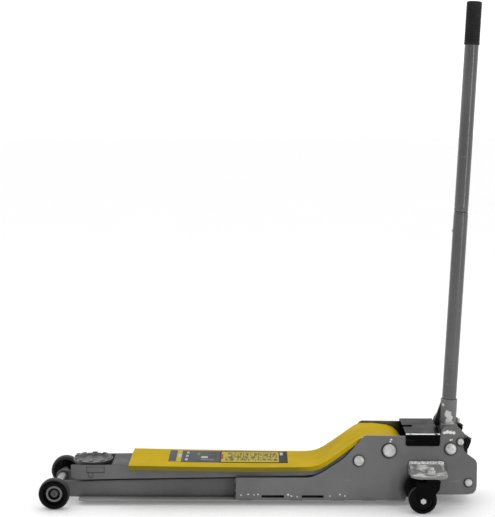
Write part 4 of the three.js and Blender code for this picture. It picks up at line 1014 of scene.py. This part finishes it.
def height_above(node):
    """A function of x and y that gives the top surface height of a CAD node."""
    data = frame["nodes"][node].data
    tree = BVHTree.FromPolygons([v.co for v in data.vertices], [p.vertices for p in data.polygons])

    def height(x, y):
        hit = tree.ray_cast(Vector((x, y, 2)), Vector((0, 0, -1)))
        return hit[0].z

    return height


def cover_decal():
    """A thin printed label that follows the top of the arm's cover."""
    height = height_above("arm_cover")
    work = bmesh.new()
    grid = []
    for i in range(DECAL_COLUMNS + 1):
        x = DECAL_X[0] + (DECAL_X[1] - DECAL_X[0]) * i / DECAL_COLUMNS
        grid.append([])
        for j in range(DECAL_ROWS + 1):
            y = DECAL_Y[0] + (DECAL_Y[1] - DECAL_Y[0]) * j / DECAL_ROWS
            grid[-1].append(work.verts.new((x, y, height(x, y) + DECAL_LIFT)))
    for first, second in zip(grid, grid[1:]):
        for j in range(DECAL_ROWS):
            work.faces.new((first[j], second[j], second[j + 1], first[j + 1]))
    decal = finish_piece("cover_decal", work, [decal_material()], "arm")
    thickness = decal.modifiers.new("thickness", "SOLIDIFY")
    thickness.thickness = 0.15 * MM
    thickness.offset = -1


# Each bead on a bracket: distance from the middle, height over the bracket and radius.
BRACKET_BEADS = ((88.8, 0.2, 3.6), (92, -1.6, 3.2))
PLATE_BEAD_Y = 81 * MM
PLATE_BEAD_Z = (18 * MM, 70 * MM)
SILL_STARTS = (-52, 76, 182, 262)
SILL_LENGTH = 34
SILL_Y = 85.6 * MM
SILL_Z = 16.6 * MM


def welds():
    for side, sign in (("left", -1), ("right", 1)):
        low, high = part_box(f"{side}_caster_bracket")
        for index, (outward, height, radius) in enumerate(BRACKET_BEADS):
            y = sign * outward * MM
            z = high.z + height * MM
            weld_bead(f"{side}_bracket_weld_{index}", (low.x + 2 * MM, y, z), (high.x - 4 * MM, y, z),
                      radius * MM, "frame", WELD, 11 + sign + index)
        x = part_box(f"{side}_side_plate")[0].x - 1 * MM
        ends = [(x, sign * PLATE_BEAD_Y, z) for z in PLATE_BEAD_Z]
        weld_bead(f"{side}_plate_weld", *ends, 2.2 * MM, "frame", CAST_IRON, 31 + sign)
        for index, start in enumerate(SILL_STARTS):
            ends = [(x * MM, sign * SILL_Y, SILL_Z) for x in (start, start + SILL_LENGTH)]
            weld_bead(f"{side}_sill_weld_{index}", *ends, 2 * MM, "frame", GREY_PAINT, 41 + index)


def king_ends():
    """The bright turned end of each caster's kingpin, standing out of its nut."""
    for side in ("left", "right"):
        nut_low, nut_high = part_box(f"{side}_king_nut")
        centre = (nut_low + nut_high) / 2
        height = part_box(f"{side}_caster_fork")[1].z - nut_high.z
        profile = [(0, 0.2 * MM), (6.25 * MM, 0.2 * MM), (6.25 * MM, height - 1.2 * MM),
                   (5.1 * MM, height + 0.3 * MM), (0, height + 0.3 * MM)]
        place = Matrix.Translation((centre.x, centre.y, nut_high.z))
        turned(f"{side}_king_end", profile, place, [ZINC], f"{side}_caster", (), 0.3 * MM)


# ---- assembly ----

bpy.context.scene.view_settings.view_transform = "Standard"
add_camera()
add_world()
for softbox in SOFTBOXES:
    add_softbox(*softbox)
add_floor(floor_material())

finish_plates_and_castings()
for wheel in both("front_wheel"):
    front_wheel(wheel)
for wheel in both("caster_wheel"):
    caster_wheel(wheel)
front_axle()
add_fasteners()
saddle_pad()
hydraulic_details()
pump_details()
springs()
lower_tube()
upper_tube()
grip()
cover_decal()
welds()
king_ends()
